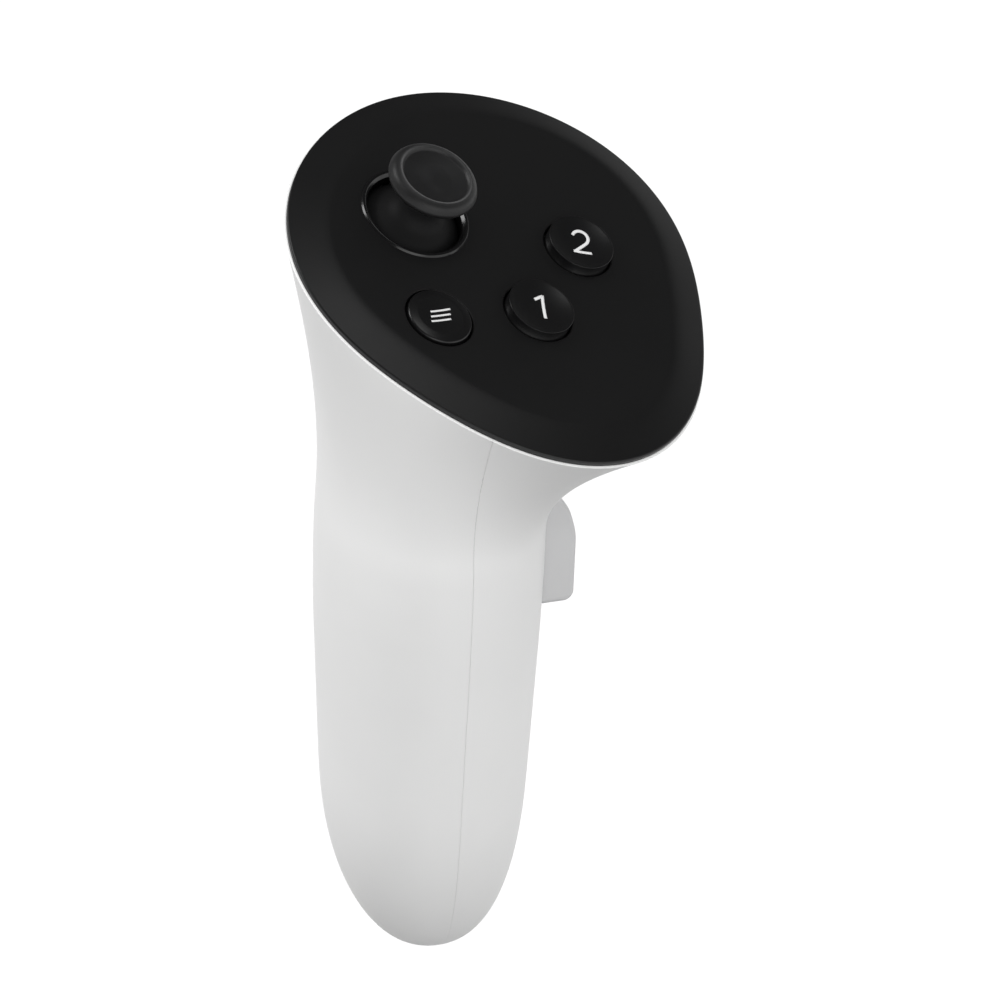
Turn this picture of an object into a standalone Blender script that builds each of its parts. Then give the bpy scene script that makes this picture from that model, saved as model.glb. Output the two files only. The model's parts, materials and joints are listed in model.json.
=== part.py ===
"""VR motion controller for the left hand, modelled as the pieces it is assembled from.

Metres. +Z runs up the handle, +Y points away from the user and +X to the user's right.
The origin is the middle of the palm's grip, on the axis of the handle.
Pieces of the head are placed in the face frame: u to the right, v forward, h out of the face.
"""

import math

import bmesh
import bpy
from mathutils import Euler, Matrix, Vector

# Clearance between neighbours, the wall of the mouldings, and the skin left over a blind hole
GAP = 0.0003
WALL = 0.0020
BLIND_SKIN = 0.0009

# Handle: heights from the middle of the grip, half widths at two of them, and the round end
GRIP_TO_TIP = 0.0502
FACE_HEIGHT = 0.0582
TIP = -GRIP_TO_TIP
NECK_DROP = 0.0332
NECK_HEIGHT = FACE_HEIGHT - NECK_DROP
NECK_HALF_WIDTH = 0.0176
NECK_HALF_DEPTH = 0.0198
FOOT_RISE = 0.0302
FOOT_HEIGHT = TIP + FOOT_RISE
FOOT_HALF_WIDTH = 0.0156
FOOT_HALF_DEPTH = 0.0169
END_LENGTH = 0.0320
END_POWER = 2.4
END_SHIFT = 0.0015
SECTION_POWER = 2.1
SEAM_X = 0.0
CREASE_ROUND = 0.05

# Face frame and the outline of the faceplate
FACE_RIGHT = 0.01260
FACE_FORWARD = 0.00457
FACE_CENTRE = Vector((FACE_RIGHT, FACE_FORWARD, FACE_HEIGHT))
FACE_PITCH = math.radians(28.3)
FACE_ROLL = math.radians(12.0)
RIM_RADIUS = 0.0343
RIM_OVAL = 0.0012
RIM_OVAL_ANGLE = math.radians(-83)
RIM_TRIANGLE = 0.0014
RIM_TRIANGLE_ANGLE = math.radians(52.8)
RIM_SQUARE = 0.00045
RIM_SQUARE_ANGLE = math.radians(21.4)
LIP = 0.0003

# Flare from the handle to the rim
FLARE_DROP = 0.0402
FLARE_START = FACE_HEIGHT - FLARE_DROP
FLARE_WAIST = 0.0026
FLARE_RISE = 0.33
FLARE_RISE_PER_REACH = 8.0
FLARE_LIP_OUT = 0.36
FLARE_LIP_DOWN = 0.25
FRONT_LIP_OUT = 0.30
FRONT_LIP_DOWN = 0.15

# Faceplate
PLATE_HEIGHT = 0.0026
PLATE_THICKNESS = 0.0018
PLATE_EDGE = 0.0007
BAND_WIDTH = 0.0062
SEAT_WIDTH = 0.0050

# Places on the face, as (u, v), which follow the rim and step back from it
STICK_STEP = 0.00671
MENU_STEP_U = 0.00525
MENU_STEP_V = 0.00440
BOARD_FRONT_STEP = 0.01114
TRIGGER_STEP = 0.00784
BOARD_SCREW_U = 0.0070
BOARD_EDGE = 0.0025
STICK_PLACE = (-0.3994 * RIM_RADIUS, 0.42 * RIM_RADIUS - STICK_STEP)
UPPER_PLACE = (0.3499 * RIM_RADIUS, 0.1079 * RIM_RADIUS)
LOWER_PLACE = (0.0641 * RIM_RADIUS, -0.2857 * RIM_RADIUS)
MENU_PLACE = (MENU_STEP_U - 0.57 * RIM_RADIUS, MENU_STEP_V - 0.49 * RIM_RADIUS)
BOARD_SCREW_PLACES = (
    (BOARD_SCREW_U, 0.3353 * RIM_RADIUS),
    (-0.5685 * RIM_RADIUS, -0.1603 * RIM_RADIUS),
    (0.3265 * RIM_RADIUS, -0.2332 * RIM_RADIUS),
)

# Thumbstick, heights measured from its pivot
STICK_PIVOT = -0.0065
WELL_RADIUS = 0.0077
WELL_CHAMFER = 0.0004
COLLAR_RISE = 0.0006
COLLAR_WIDTH = 0.0008
SKIRT_BALL = 0.0103
SKIRT_SHELL = 0.0008
SKIRT_REACH = math.radians(54)
SHAFT_RADIUS = 0.0016
STEM_RADIUS = 0.0031
STEM_FLARE = 0.0022
STEM_FLARE_HEIGHT = 0.0026
CAP_RADIUS = 0.0070
CAP_HEIGHT = 0.0036
CAP_ABOVE_PIVOT = 0.0143
CAP_DISH = 0.0009
MODULE_RADIUS = 0.0064
MODULE_DEPTH = 0.0052
MODULE_FLOOR = 0.0008
GIMBAL_RADIUS = 0.0051
GIMBAL_WIDTH = 0.0012
GIMBAL_HEIGHT = 0.0022
BALL_RADIUS = 0.0033
GIMBAL_PIN = 0.0007
SWITCH_RADIUS = 0.0019
SWITCH_HEIGHT = 0.0006
SENSOR_SIZE = 0.0050
SENSOR_THICKNESS = 0.0015
MODULE_FLANGE = 0.0016
MODULE_FLANGE_HALF = 0.0030
MODULE_FLANGE_THICKNESS = 0.0010

# Buttons and their board
BUTTON_RADIUS = 0.150 * RIM_RADIUS
BUTTON_RISE = 0.0016
BUTTON_SOFT = 0.0005
BUTTON_DISH = 0.0004
FLANGE = 0.0008
FLANGE_THICKNESS = 0.0010
MENU_RADIUS = 0.1458 * RIM_RADIUS
MENU_RISE = 0.0007
MENU_RIM = 0.0004
MENU_DISH = 0.0002
DOME_HEIGHT = 0.0012
DOME_RADIUS = 0.0025
BOARD_TOP = -0.0060
BOARD_THICKNESS = 0.0010
BUTTON_BOARD_CORNER = 0.0036
BOARD_FRONT = 0.80 * RIM_RADIUS - BOARD_FRONT_STEP
BOSS_RADIUS = 0.0020
SCREW_RADIUS = 0.0008
SCREW_HEAD = 0.0017
SCREW_HEAD_HEIGHT = 0.0011

# Ring of tracking lights
LIGHT_INSET = 0.0062
LIGHT_WIDTH = 0.0013
LIGHT_THICKNESS = 0.0006
LIGHT_PROUD = 0.0003
LIGHT_COUNT = 7

# Index trigger, placed in the face frame
TRIGGER_U = -0.1749 * RIM_RADIUS
TRIGGER_V = 0.80 * RIM_RADIUS - TRIGGER_STEP
TRIGGER_H = -0.0050
TRIGGER_WIDTH = 0.0124
TRIGGER_SIDE_GAP = 0.0004
TRIGGER_HUB = 0.0023
TRIGGER_PIN = 0.0010
TRIGGER_PULL_ROOM = 0.0090
TRIGGER_FRONT_ROOM = 0.0074
TRIGGER_TOP_ROOM = 0.0020
TRIGGER_REACH = 0.0280
TRIGGER_BULGE = 0.0084
TRIGGER_TIP = 0.0024
TRIGGER_BACK = 0.0030
TRIGGER_MAGNET_DROP = 0.0080
TRIGGER_EDGE = 0.0007
POCKET_RADIUS = 0.0032
POCKET_DEPTH = 0.0036
TRIGGER_WIRE = 0.0003
TRIGGER_TURNS = 2.25
BRACKET_SCREW_OFFSETS = ((0.0044, -0.0046), (0.0082, -0.0046))
BRACKET_WALL = 0.0012
BRACKET_TOP = -0.0011
EAR_EDGE = 0.0004
MAGNET_THICKNESS = 0.0010
MAGNET_HALF = 0.0014
CHIP_HALF = 0.0013
CHIP_THICKNESS = 0.0010

# Grip lever on the right of the handle
GRIP_DROP = 0.0312
GRIP_PIVOT = (0.0140, FACE_HEIGHT - GRIP_DROP)
GRIP_WIDTH = 0.0130
GRIP_SIDE_GAP = 0.0004
GRIP_HUB = 0.0021
GRIP_PIN = 0.0009
GRIP_REACH = 0.0216
GRIP_LENGTH = 0.0193
GRIP_FOOT = GRIP_PIVOT[1] - GRIP_LENGTH
GRIP_FOOT_GAP = 0.0008
GRIP_BACK = 0.0008
GRIP_EDGE = 0.0006
GRIP_EAR = 0.0016
GRIP_EAR_HALF = 0.0025
GRIP_EAR_OUT = 0.0010
GRIP_WINDOW_BACK = 0.0020
GRIP_SPRING_RADIUS = 0.0015
GRIP_SPRING_RISE = 0.0054
GRIP_WIRE = 0.0003
GRIP_TURNS = 3.0
GRIP_MAGNET_DROP = 0.0085

# Battery, its tray and its door
BATTERY_RADIUS = 0.00725
BATTERY_LENGTH = 0.0500
BATTERY_RISE = 0.0212
BATTERY_FOOT = TIP + BATTERY_RISE
BATTERY_Y = 0.0055
BATTERY_NUB = 0.0010
BATTERY_NUB_RADIUS = 0.0027
BATTERY_SHOULDER = 0.0010
CONTACT_HALF = 0.0040
CONTACT_THICKNESS = 0.0006
BATTERY_SPRING_RADIUS = 0.0031
BATTERY_SPRING_LENGTH = 0.0046
BATTERY_WIRE = 0.0004
BATTERY_TURNS = 3.25
TRAY_WALL = 0.0010
TRAY_BACK = -0.0050
TRAY_FRONT = 0.0065
TRAY_RISE = 0.0140
TRAY_FOOT = TIP + TRAY_RISE
TRAY_HEAD = 0.0033
TRAY_TOP = BATTERY_FOOT + BATTERY_LENGTH + TRAY_HEAD
TAB_HEIGHT = 0.0048
TAB_THICKNESS = 0.0020
TOP_SCREW_OFFSET = 0.0055
FOOT_SCREW_OFFSET = 0.0035
DOOR_HALF_WIDTH = 0.0080
DOOR_RISE = 0.0167
DOOR_FOOT = TIP + DOOR_RISE
DOOR_HEAD = 0.0058
DOOR_TOP = TRAY_TOP - DOOR_HEAD

# Main board and what it carries
MAIN_BOARD_THICKNESS = 0.0010
MAIN_BOARD_HALF_WIDTH = 0.0080
MAIN_BOARD_RISE = 0.0172
MAIN_BOARD_FOOT = TIP + MAIN_BOARD_RISE
MAIN_BOARD_HEAD = 0.0028
MAIN_BOARD_TOP = TRAY_TOP - MAIN_BOARD_HEAD
BOARD_CORNER = 0.0020
SHIELD_HALF_WIDTH = 0.0060
SHIELD_THICKNESS = 0.0018
SHIELD_RISE = 0.0212
SHIELD_FOOT = TIP + SHIELD_RISE
SHIELD_LENGTH = 0.0160
SHIELD_TOP = SHIELD_FOOT + SHIELD_LENGTH
MOTOR_HALF_WIDTH = 0.0055
MOTOR_THICKNESS = 0.0055
MOTOR_GAP = 0.0040
MOTOR_FOOT = SHIELD_TOP + MOTOR_GAP
MOTOR_LENGTH = 0.0200
MOTOR_TOP = MOTOR_FOOT + MOTOR_LENGTH
MOTOR_CORNER = 0.0030
AERIAL_HALF_WIDTH = 0.0035
AERIAL_THICKNESS = 0.0004
AERIAL_FOOT = 0.0025
AERIAL_TOP = 0.0165
CABLE_WIDTH = 0.0050
CABLE_THICKNESS = 0.0003
CABLE_OVERLAP = 0.0035
CABLE_FOOT = MAIN_BOARD_TOP - CABLE_OVERLAP
CABLE_DROP = 0.0136
CABLE_TOP = FACE_HEIGHT - CABLE_DROP
CABLE_SLACK = 0.0010

# Lanyard slot and pin at the foot
LANYARD_RISE = 0.0089
LANYARD_HEIGHT = TIP + LANYARD_RISE
LANYARD_Y = 0.0061
LANYARD_PIN = 0.0009
LANYARD_HALF_SPAN = 0.0031
LANYARD_HALF_HEIGHT = 0.0026
LANYARD_BACK = 0.0012
LANYARD_SEAT = 0.0028
LANYARD_BITE = 0.0021

# Fineness of the faceted solids
BODY_SEGMENTS = 48
PLATE_SEGMENTS = 56
ROUND_SEGMENTS = 26
SMALL_SEGMENTS = 12

# Reach of a cutter that passes through a piece, and one that leaves the body altogether
THROUGH = 0.0200
OUTSIDE = 0.0600

PLATE_UNDER = PLATE_HEIGHT - PLATE_THICKNESS
BOARD_UNDER = BOARD_TOP - BOARD_THICKNESS
TRAY_HALF_WIDTH = BATTERY_RADIUS + GAP + TRAY_WALL


def clear_scene():
    for item in list(bpy.data.objects):
        bpy.data.objects.remove(item, do_unlink=True)


def plain_material(name, colour, roughness, metallic=0.0):
    made = bpy.data.materials.new(name)
    made.use_nodes = True
    shader = made.node_tree.nodes["Principled BSDF"]
    shader.inputs["Base Color"].default_value = (*colour, 1.0)
    shader.inputs["Roughness"].default_value = roughness
    shader.inputs["Metallic"].default_value = metallic
    made.diffuse_color = (*colour, 1.0)
    return made


# Building shapes


def bridge(bm, low, high):
    """Faces between two loops, either of which may be a single tip."""
    count = max(len(low), len(high))
    for i in range(count):
        j = (i + 1) % count
        corners = (low[i % len(low)], low[j % len(low)], high[j % len(high)], high[i % len(high)])
        bm.faces.new(dict.fromkeys(corners))


def loft(rings, closed=False):
    """A closed skin through rings of points; closed joins the last ring to the first."""
    bm = bmesh.new()
    loops = [[bm.verts.new(point) for point in ring] for ring in rings]
    for low, high in zip(loops, loops[1:]):
        bridge(bm, low, high)
    if closed:
        bridge(bm, loops[-1], loops[0])
    else:
        for loop in (loops[0], loops[-1]):
            if len(loop) > 1:
                bm.faces.new(loop)
    bmesh.ops.recalc_face_normals(bm, faces=bm.faces)
    return bm


def ring(radius, height, segments):
    if radius == 0:
        return [Vector((0, 0, height))]
    turns = [math.tau * i / segments for i in range(segments)]
    return [Vector((radius * math.cos(a), radius * math.sin(a), height)) for a in turns]


def turned(profile, segments=ROUND_SEGMENTS, closed=False):
    """A lathe shape from (radius, height) pairs."""
    return loft([ring(radius, height, segments) for radius, height in profile], closed)


def arc(radius, start, end, steps):
    """Points (radius, height) on a circle, by the angle from the upward axis."""
    angles = [start + (end - start) * i / steps for i in range(steps + 1)]
    return [(radius * math.sin(a), radius * math.cos(a)) for a in angles]


def rounded(corners, steps=3):
    """An outline of (x, y, radius) corners with each corner turned into an arc."""
    points = []
    for i, (x, y, radius) in enumerate(corners):
        here = Vector((x, y))
        back = Vector(corners[i - 1][:2]) - here
        ahead = Vector(corners[(i + 1) % len(corners)][:2]) - here
        half = back.angle(ahead) / 2
        if radius == 0 or half > math.radians(89):
            points.append(here)
            continue
        reach = min(radius / math.tan(half), 0.45 * min(back.length, ahead.length))
        middle = here + (back.normalized() + ahead.normalized()).normalized() * reach / math.cos(half)
        first = here + back.normalized() * reach - middle
        last = here + ahead.normalized() * reach - middle
        sweep = first.angle_signed(last)
        for step in range(steps + 1):
            points.append(middle + Matrix.Rotation(-sweep * step / steps, 2) @ first)
    return points


def prism(outline, start, end, place):
    """An outline carried from start to end; place turns (a, b, depth) into a point."""
    rings = [[Vector(place(p[0], p[1], depth)) for p in outline] for depth in (start, end)]
    return loft(rings)


def along_x(a, b, depth):
    return depth, a, b


def along_y(a, b, depth):
    return a, depth, b


def along_z(a, b, depth):
    return a, b, depth


def block(low, high):
    """A box between two opposite corners."""
    bm = bmesh.new()
    bmesh.ops.create_cube(bm, size=1.0)
    low, high = Vector(low), Vector(high)
    bmesh.ops.scale(bm, vec=high - low, verts=bm.verts)
    bmesh.ops.translate(bm, vec=(low + high) / 2, verts=bm.verts)
    return bm


def rod(radius, start, end, centre, axis, segments=SMALL_SEGMENTS):
    """A cylinder along X, Y or Z from start to end through the centre."""
    turn = {"X": Matrix.Rotation(math.pi / 2, 4, "Y"), "Y": Matrix.Rotation(-math.pi / 2, 4, "X")}
    bm = turned([(radius, start), (radius, end)], segments)
    bmesh.ops.transform(bm, matrix=turn.get(axis, Matrix.Identity(4)), verts=bm.verts)
    bmesh.ops.translate(bm, vec=Vector(centre), verts=bm.verts)
    return bm


def screw_shape(length, place):
    """A pan-head screw whose head sits above height 0 and whose shank runs down, then placed."""
    head = SCREW_HEAD_HEIGHT
    shape = turned(
        [
            (0, head * 0.55),
            (SCREW_HEAD * 0.45, head * 0.55),
            (SCREW_HEAD * 0.55, head),
            (SCREW_HEAD * 0.85, head),
            (SCREW_HEAD, head * 0.7),
            (SCREW_HEAD, 0),
            (SCREW_RADIUS, 0),
            (SCREW_RADIUS, -length + SCREW_RADIUS),
            (0, -length),
        ],
        SMALL_SEGMENTS,
    )
    bmesh.ops.transform(shape, matrix=place, verts=shape.verts)
    return shape


# Making objects


def add_object(name, bm, material=None, frame=None, smooth=True):
    mesh = bpy.data.meshes.new(name)
    bm.to_mesh(mesh)
    bm.free()
    made = bpy.data.objects.new(name, mesh)
    bpy.context.scene.collection.objects.link(made)
    made.parent = frame
    if material:
        mesh.materials.append(material)
    if smooth:
        mesh.shade_smooth()
        mesh.set_sharp_from_angle(angle=math.radians(35))
    return made


def add_tool(name, bm, frame=None):
    """A helper solid that only shapes other pieces."""
    made = add_object(name, bm, None, frame, smooth=False)
    made.hide_render = True
    made.display_type = "WIRE"
    return made


def add_frame(name, matrix, parent=None):
    made = bpy.data.objects.new(name, None)
    bpy.context.scene.collection.objects.link(made)
    made.parent = parent
    made.matrix_local = matrix
    return made


def combine(target, tool, operation):
    step = target.modifiers.new(tool.name, "BOOLEAN")
    step.object = tool
    step.operation = operation
    step.solver = "EXACT"


def soften(target, width):
    """Round the sharp edges of a moulding."""
    edge = target.modifiers.new("soft edges", "BEVEL")
    edge.width = width
    edge.segments = 2
    edge.limit_method = "ANGLE"
    edge.angle_limit = math.radians(60)


def cut(target, *tools):
    for tool in tools:
        combine(target, tool, "DIFFERENCE")


def join(target, *tools):
    for tool in tools:
        combine(target, tool, "UNION")


def spring_wire(name, path, wire_radius, material, frame, sides=1):
    """A spring as one tube along a path; prints the least gap between its turns."""
    curve = bpy.data.curves.new(name, "CURVE")
    curve.dimensions = "3D"
    curve.bevel_depth = wire_radius
    curve.bevel_resolution = sides
    curve.use_fill_caps = True
    strand = curve.splines.new("POLY")
    strand.points.add(len(path) - 1)
    for point, place in zip(strand.points, path):
        point.co = (*place, 1.0)
    curve.materials.append(material)
    made = bpy.data.objects.new(name, curve)
    bpy.context.scene.collection.objects.link(made)
    made.parent = frame
    least = least_gap(path, wire_radius)
    print(f"{name}: least gap between turns {least * 1000:.2f} mm")
    return made


def least_gap(path, wire_radius):
    """The smallest clear distance between parts of a path over half a turn apart."""
    apart = 9
    pairs = ((i, j) for i in range(len(path)) for j in range(i + apart, len(path)))
    return min((Vector(path[i]) - Vector(path[j])).length for i, j in pairs) - 2 * wire_radius


def coil(radius, start, end, turns, place, per_turn=14):
    """Points of a helix that advances from start to end; place sets its axis."""
    count = round(turns * per_turn)
    points = []
    for i in range(count + 1):
        angle = math.tau * turns * i / count
        advance = start + (end - start) * i / count
        points.append(Vector(place(radius * math.cos(angle), radius * math.sin(angle), advance)))
    return points


# The face frame and the rim


def face_matrix():
    return Matrix.Translation(FACE_CENTRE) @ Euler((FACE_PITCH, FACE_ROLL, 0)).to_matrix().to_4x4()


FACE = face_matrix()
FACE_NORMAL = FACE.to_3x3() @ Vector((0, 0, 1))


def rim_radius(angle):
    oval = RIM_OVAL * math.cos(2 * (angle - RIM_OVAL_ANGLE))
    triangle = RIM_TRIANGLE * math.cos(3 * (angle - RIM_TRIANGLE_ANGLE))
    square = RIM_SQUARE * math.cos(4 * (angle - RIM_SQUARE_ANGLE))
    return RIM_RADIUS + oval + triangle + square


def rim_ring(inset, height):
    turns = [math.tau * i / PLATE_SEGMENTS for i in range(PLATE_SEGMENTS)]
    return [
        Vector(((rim_radius(a) - inset) * math.cos(a), (rim_radius(a) - inset) * math.sin(a), height))
        for a in turns
    ]


def rim_point(azimuth):
    """The shell's rim where it crosses the half-plane at this azimuth about the handle."""
    low, high = azimuth - 1.3, azimuth + 1.3
    for _ in range(40):
        angle = (low + high) / 2
        radius = rim_radius(angle) + LIP
        point = FACE @ Vector((radius * math.cos(angle), radius * math.sin(angle), 0))
        ahead = math.atan2(point.y, point.x) - azimuth
        if math.remainder(ahead, math.tau) < 0:
            low = angle
        else:
            high = angle
    return point


# The white body: one curve up each side of the handle


def end_rise(height):
    """0 at the tip, 1 where the round end meets the straight handle."""
    return min(1.0, max(0.0, (height - TIP) / END_LENGTH))


def handle_taper(height):
    share = (height - FOOT_HEIGHT) / (NECK_HEIGHT - FOOT_HEIGHT)
    width = FOOT_HALF_WIDTH + share * (NECK_HALF_WIDTH - FOOT_HALF_WIDTH)
    depth = FOOT_HALF_DEPTH + share * (NECK_HALF_DEPTH - FOOT_HALF_DEPTH)
    close = (1 - (1 - end_rise(height)) ** END_POWER) ** (1 / END_POWER)
    return width * close, depth * close


def handle_radius(azimuth, height):
    width, depth = handle_taper(height)
    if width == 0:
        return 0.0
    across = abs(math.cos(azimuth) / width) ** SECTION_POWER
    along = abs(math.sin(azimuth) / depth) ** SECTION_POWER
    return (across + along) ** (-1 / SECTION_POWER)


def side_curve(azimuth, rim, t):
    """(radius, height) on the body at this azimuth: t 0 to 1 up the handle, 1 to 2 up the flare."""
    if t <= 1:
        height = TIP + (FLARE_START - TIP) * t ** 1.7
        return Vector((handle_radius(azimuth, height), height))
    front = max(0.0, math.sin(azimuth)) ** 3
    start = Vector((handle_radius(azimuth, FLARE_START), FLARE_START))
    end = Vector((math.hypot(rim.x, rim.y), rim.z))
    rise = end.y - start.y
    waist = start.x - FLARE_WAIST
    out = (FLARE_LIP_OUT + FRONT_LIP_OUT * front) * (end.x - start.x)
    down = (FLARE_LIP_DOWN + FRONT_LIP_DOWN * front) * rise
    turn = (FLARE_RISE + FLARE_RISE_PER_REACH * (end.x - start.x)) * rise
    pulls = (start, Vector((waist, start.y + turn)), Vector((start.x + out, end.y - down)), end)
    s = t - 1
    shares = ((1 - s) ** 3, 3 * s * (1 - s) ** 2, 3 * s * s * (1 - s), s ** 3)
    return sum((pull * share for pull, share in zip(pulls, shares)), Vector((0, 0)))


def side_point(azimuth, rim, t, inset):
    """A point on the body's side, moved inward by inset square to the curve."""
    here = side_curve(azimuth, rim, t)
    if inset:
        step = 0.004
        run = side_curve(azimuth, rim, min(2, t + step)) - side_curve(azimuth, rim, max(0, t - step))
        here = here + inset * Vector((-run.y, run.x)).normalized()
    shift = END_SHIFT * (1 - end_rise(here.y)) ** 2
    return Vector((here.x * math.cos(azimuth) + shift, here.x * math.sin(azimuth), here.y))


def inner_end(azimuth, rim):
    """How far up the side curve the inside of the wall meets the plane of the rim."""
    low, high = 1.2, 2.0
    for _ in range(30):
        t = (low + high) / 2
        if (side_point(azimuth, rim, t, WALL) - FACE_CENTRE).dot(FACE_NORMAL) < 0:
            low = t
        else:
            high = t
    return low


def body_mesh():
    """The whole hollow body: the outside from tip to rim, then the inside back down."""
    azimuths = [math.tau * (i + 0.5) / BODY_SEGMENTS for i in range(BODY_SEGMENTS)]
    rims = [rim_point(a) for a in azimuths]
    ends = [inner_end(a, r) for a, r in zip(azimuths, rims)]
    handle_steps = [i / 11 for i in range(1, 11)] + [1 - CREASE_ROUND]
    flare_steps = [CREASE_ROUND] + [i / 8 for i in range(1, 9)]
    rings = [[Vector((END_SHIFT, 0, TIP))]]
    for t in handle_steps + [1 + s for s in flare_steps]:
        rings.append([side_point(a, r, t, 0) for a, r in zip(azimuths, rims)])
    for s in reversed(flare_steps):
        rings.append([side_point(a, r, 1 + s * (e - 1), WALL) for a, r, e in zip(azimuths, rims, ends)])
    for t in reversed(handle_steps):
        rings.append([side_point(a, r, t, WALL) for a, r in zip(azimuths, rims)])
    rings.append([Vector((END_SHIFT * (1 - end_rise(TIP + WALL)) ** 2, 0, TIP + WALL))])
    return loft(rings)


def outer_radius(azimuth, height):
    """How far the body's outside is from the handle's axis at this height."""
    rim = rim_point(azimuth)
    low, high = 0.0, 2.0
    for _ in range(30):
        t = (low + high) / 2
        if side_curve(azimuth, rim, t).y < height:
            low = t
        else:
            high = t
    return side_curve(azimuth, rim, low).x


def back_wall(x, height):
    """Where the middle of the palm-side wall is, at this x and height."""
    y = -outer_radius(-math.pi / 2, height)
    for _ in range(12):
        radius = outer_radius(math.atan2(y, x), height)
        y = -math.sqrt(max(0.0, radius ** 2 - x ** 2))
    return y + WALL / 2


# Shells and door


def tray_screws():
    """(x, z) of the four screws that tie the shells to the tray."""
    top = TRAY_TOP + TAB_HEIGHT / 2
    foot = TRAY_FOOT - TAB_HEIGHT / 2
    return (
        ("left_upper", SEAM_X - TOP_SCREW_OFFSET, top),
        ("right_upper", SEAM_X + TOP_SCREW_OFFSET, top),
        ("left_lower", SEAM_X - FOOT_SCREW_OFFSET, foot),
        ("right_lower", SEAM_X + FOOT_SCREW_OFFSET, foot),
    )


def boss_root(x, z):
    """Where a screw boss starts, inside the palm-side wall."""
    outer = x + math.copysign(BOSS_RADIUS, x)
    return max(back_wall(outer, z + side) for side in (-BOSS_RADIUS, BOSS_RADIUS))


def add_shell_bosses(shell, side):
    for name, x, z in tray_screws():
        if not name.startswith(side):
            continue
        root = boss_root(x, z)
        boss = rod(BOSS_RADIUS, root, TRAY_BACK - GAP, (x, 0, z), "Y")
        join(shell, add_tool(f"boss_{name}", boss))
        pilot = rod(SCREW_RADIUS + GAP, root + WALL, TRAY_BACK, (x, 0, z), "Y")
        cut(shell, add_tool(f"pilot_{name}", pilot))


def add_lanyard_seat(shell, side):
    sign = -1 if side == "left" else 1
    ends = sorted((sign * (LANYARD_HALF_SPAN + GAP), sign * (LANYARD_HALF_SPAN + GAP + LANYARD_SEAT)))
    around = 2 * LANYARD_PIN
    low = (ends[0], LANYARD_Y - around, LANYARD_HEIGHT - around)
    high = (ends[1], LANYARD_Y + around, LANYARD_HEIGHT + around)
    join(shell, add_tool(f"lanyard_seat_{side}", block(low, high)))


def add_grip_ears(shell):
    pivot_x, pivot_z = GRIP_PIVOT
    inner = GRIP_WIDTH / 2 + 2 * GRIP_SIDE_GAP
    outer = inner + GRIP_EAR
    for name, low, high in (("back", -outer, -inner), ("front", inner, outer)):
        near = (pivot_x - GRIP_EAR_HALF, low, pivot_z - GRIP_EAR_HALF)
        far = (pivot_x + GRIP_EAR_OUT, high, pivot_z + GRIP_EAR_HALF)
        join(shell, add_tool(f"grip_ear_{name}", block(near, far)))
    hole = rod(GRIP_PIN + GAP, -outer - GAP, outer + GAP, (pivot_x, 0, pivot_z), "Y")
    cut(shell, add_tool("grip_pin_hole", hole))


def grip_window():
    half = GRIP_WIDTH / 2 + GRIP_SIDE_GAP
    pivot_x, pivot_z = GRIP_PIVOT
    low = (pivot_x - GRIP_WINDOW_BACK, -half, GRIP_FOOT - GRIP_FOOT_GAP)
    return block(low, (OUTSIDE, half, pivot_z + GRIP_HUB + GAP))


def door_region(slack):
    low = (-DOOR_HALF_WIDTH - slack, TRAY_FRONT, DOOR_FOOT - slack)
    return block(low, (DOOR_HALF_WIDTH + slack, OUTSIDE, DOOR_TOP + slack))


def trigger_window():
    half = TRIGGER_WIDTH / 2 + TRIGGER_SIDE_GAP
    foot = TRIGGER_H - TRIGGER_REACH - TRIGGER_PULL_ROOM
    low = (TRIGGER_U - half, TRIGGER_V - TRIGGER_PULL_ROOM, foot)
    return block(low, (TRIGGER_U + half, TRIGGER_V + TRIGGER_FRONT_ROOM, TRIGGER_H + TRIGGER_TOP_ROOM))


def lanyard_slot():
    low = (-LANYARD_HALF_SPAN, LANYARD_Y - LANYARD_BACK, LANYARD_HEIGHT - LANYARD_HALF_HEIGHT)
    return block(low, (LANYARD_HALF_SPAN, OUTSIDE, LANYARD_HEIGHT + LANYARD_HALF_HEIGHT))


def copy_shell(shell, name):
    made = shell.copy()
    made.name = name
    bpy.context.scene.collection.objects.link(made)
    return made


def make_shells(materials, face):
    left = add_object("left_shell", body_mesh(), materials["shell"])
    right = copy_shell(left, "right_shell")
    door = copy_shell(left, "battery_door")
    far = 3 * OUTSIDE
    left_half = add_tool("left_half", block((-far, -far, -far), (SEAM_X - GAP / 2, far, far)))
    right_half = add_tool("right_half", block((SEAM_X + GAP / 2, -far, -far), (far, far, far)))
    combine(left, left_half, "INTERSECT")
    combine(right, right_half, "INTERSECT")
    combine(door, add_tool("door_solid", door_region(0)), "INTERSECT")
    windows = [
        add_tool("door_window", door_region(GAP)),
        add_tool("trigger_window", trigger_window(), face),
        add_tool("lanyard_slot", lanyard_slot()),
    ]
    pin_bore = add_tool("lanyard_pin_bore", lanyard_rod(GAP))
    for shell, side in ((left, "left"), (right, "right")):
        cut(shell, *windows)
        add_shell_bosses(shell, side)
        add_lanyard_seat(shell, side)
        cut(shell, pin_bore)
    cut(right, add_tool("grip_window", grip_window()))
    add_grip_ears(right)


def lanyard_rod(slack):
    """The cord's anchor pin across the slot, or the bore for it with some slack."""
    end = LANYARD_HALF_SPAN + LANYARD_BITE + slack
    return rod(LANYARD_PIN + slack, -end, end, (0, LANYARD_Y, LANYARD_HEIGHT), "X")


def make_lanyard_pin(materials):
    add_object("lanyard_pin", lanyard_rod(0), materials["steel"])


# Faceplate


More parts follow.
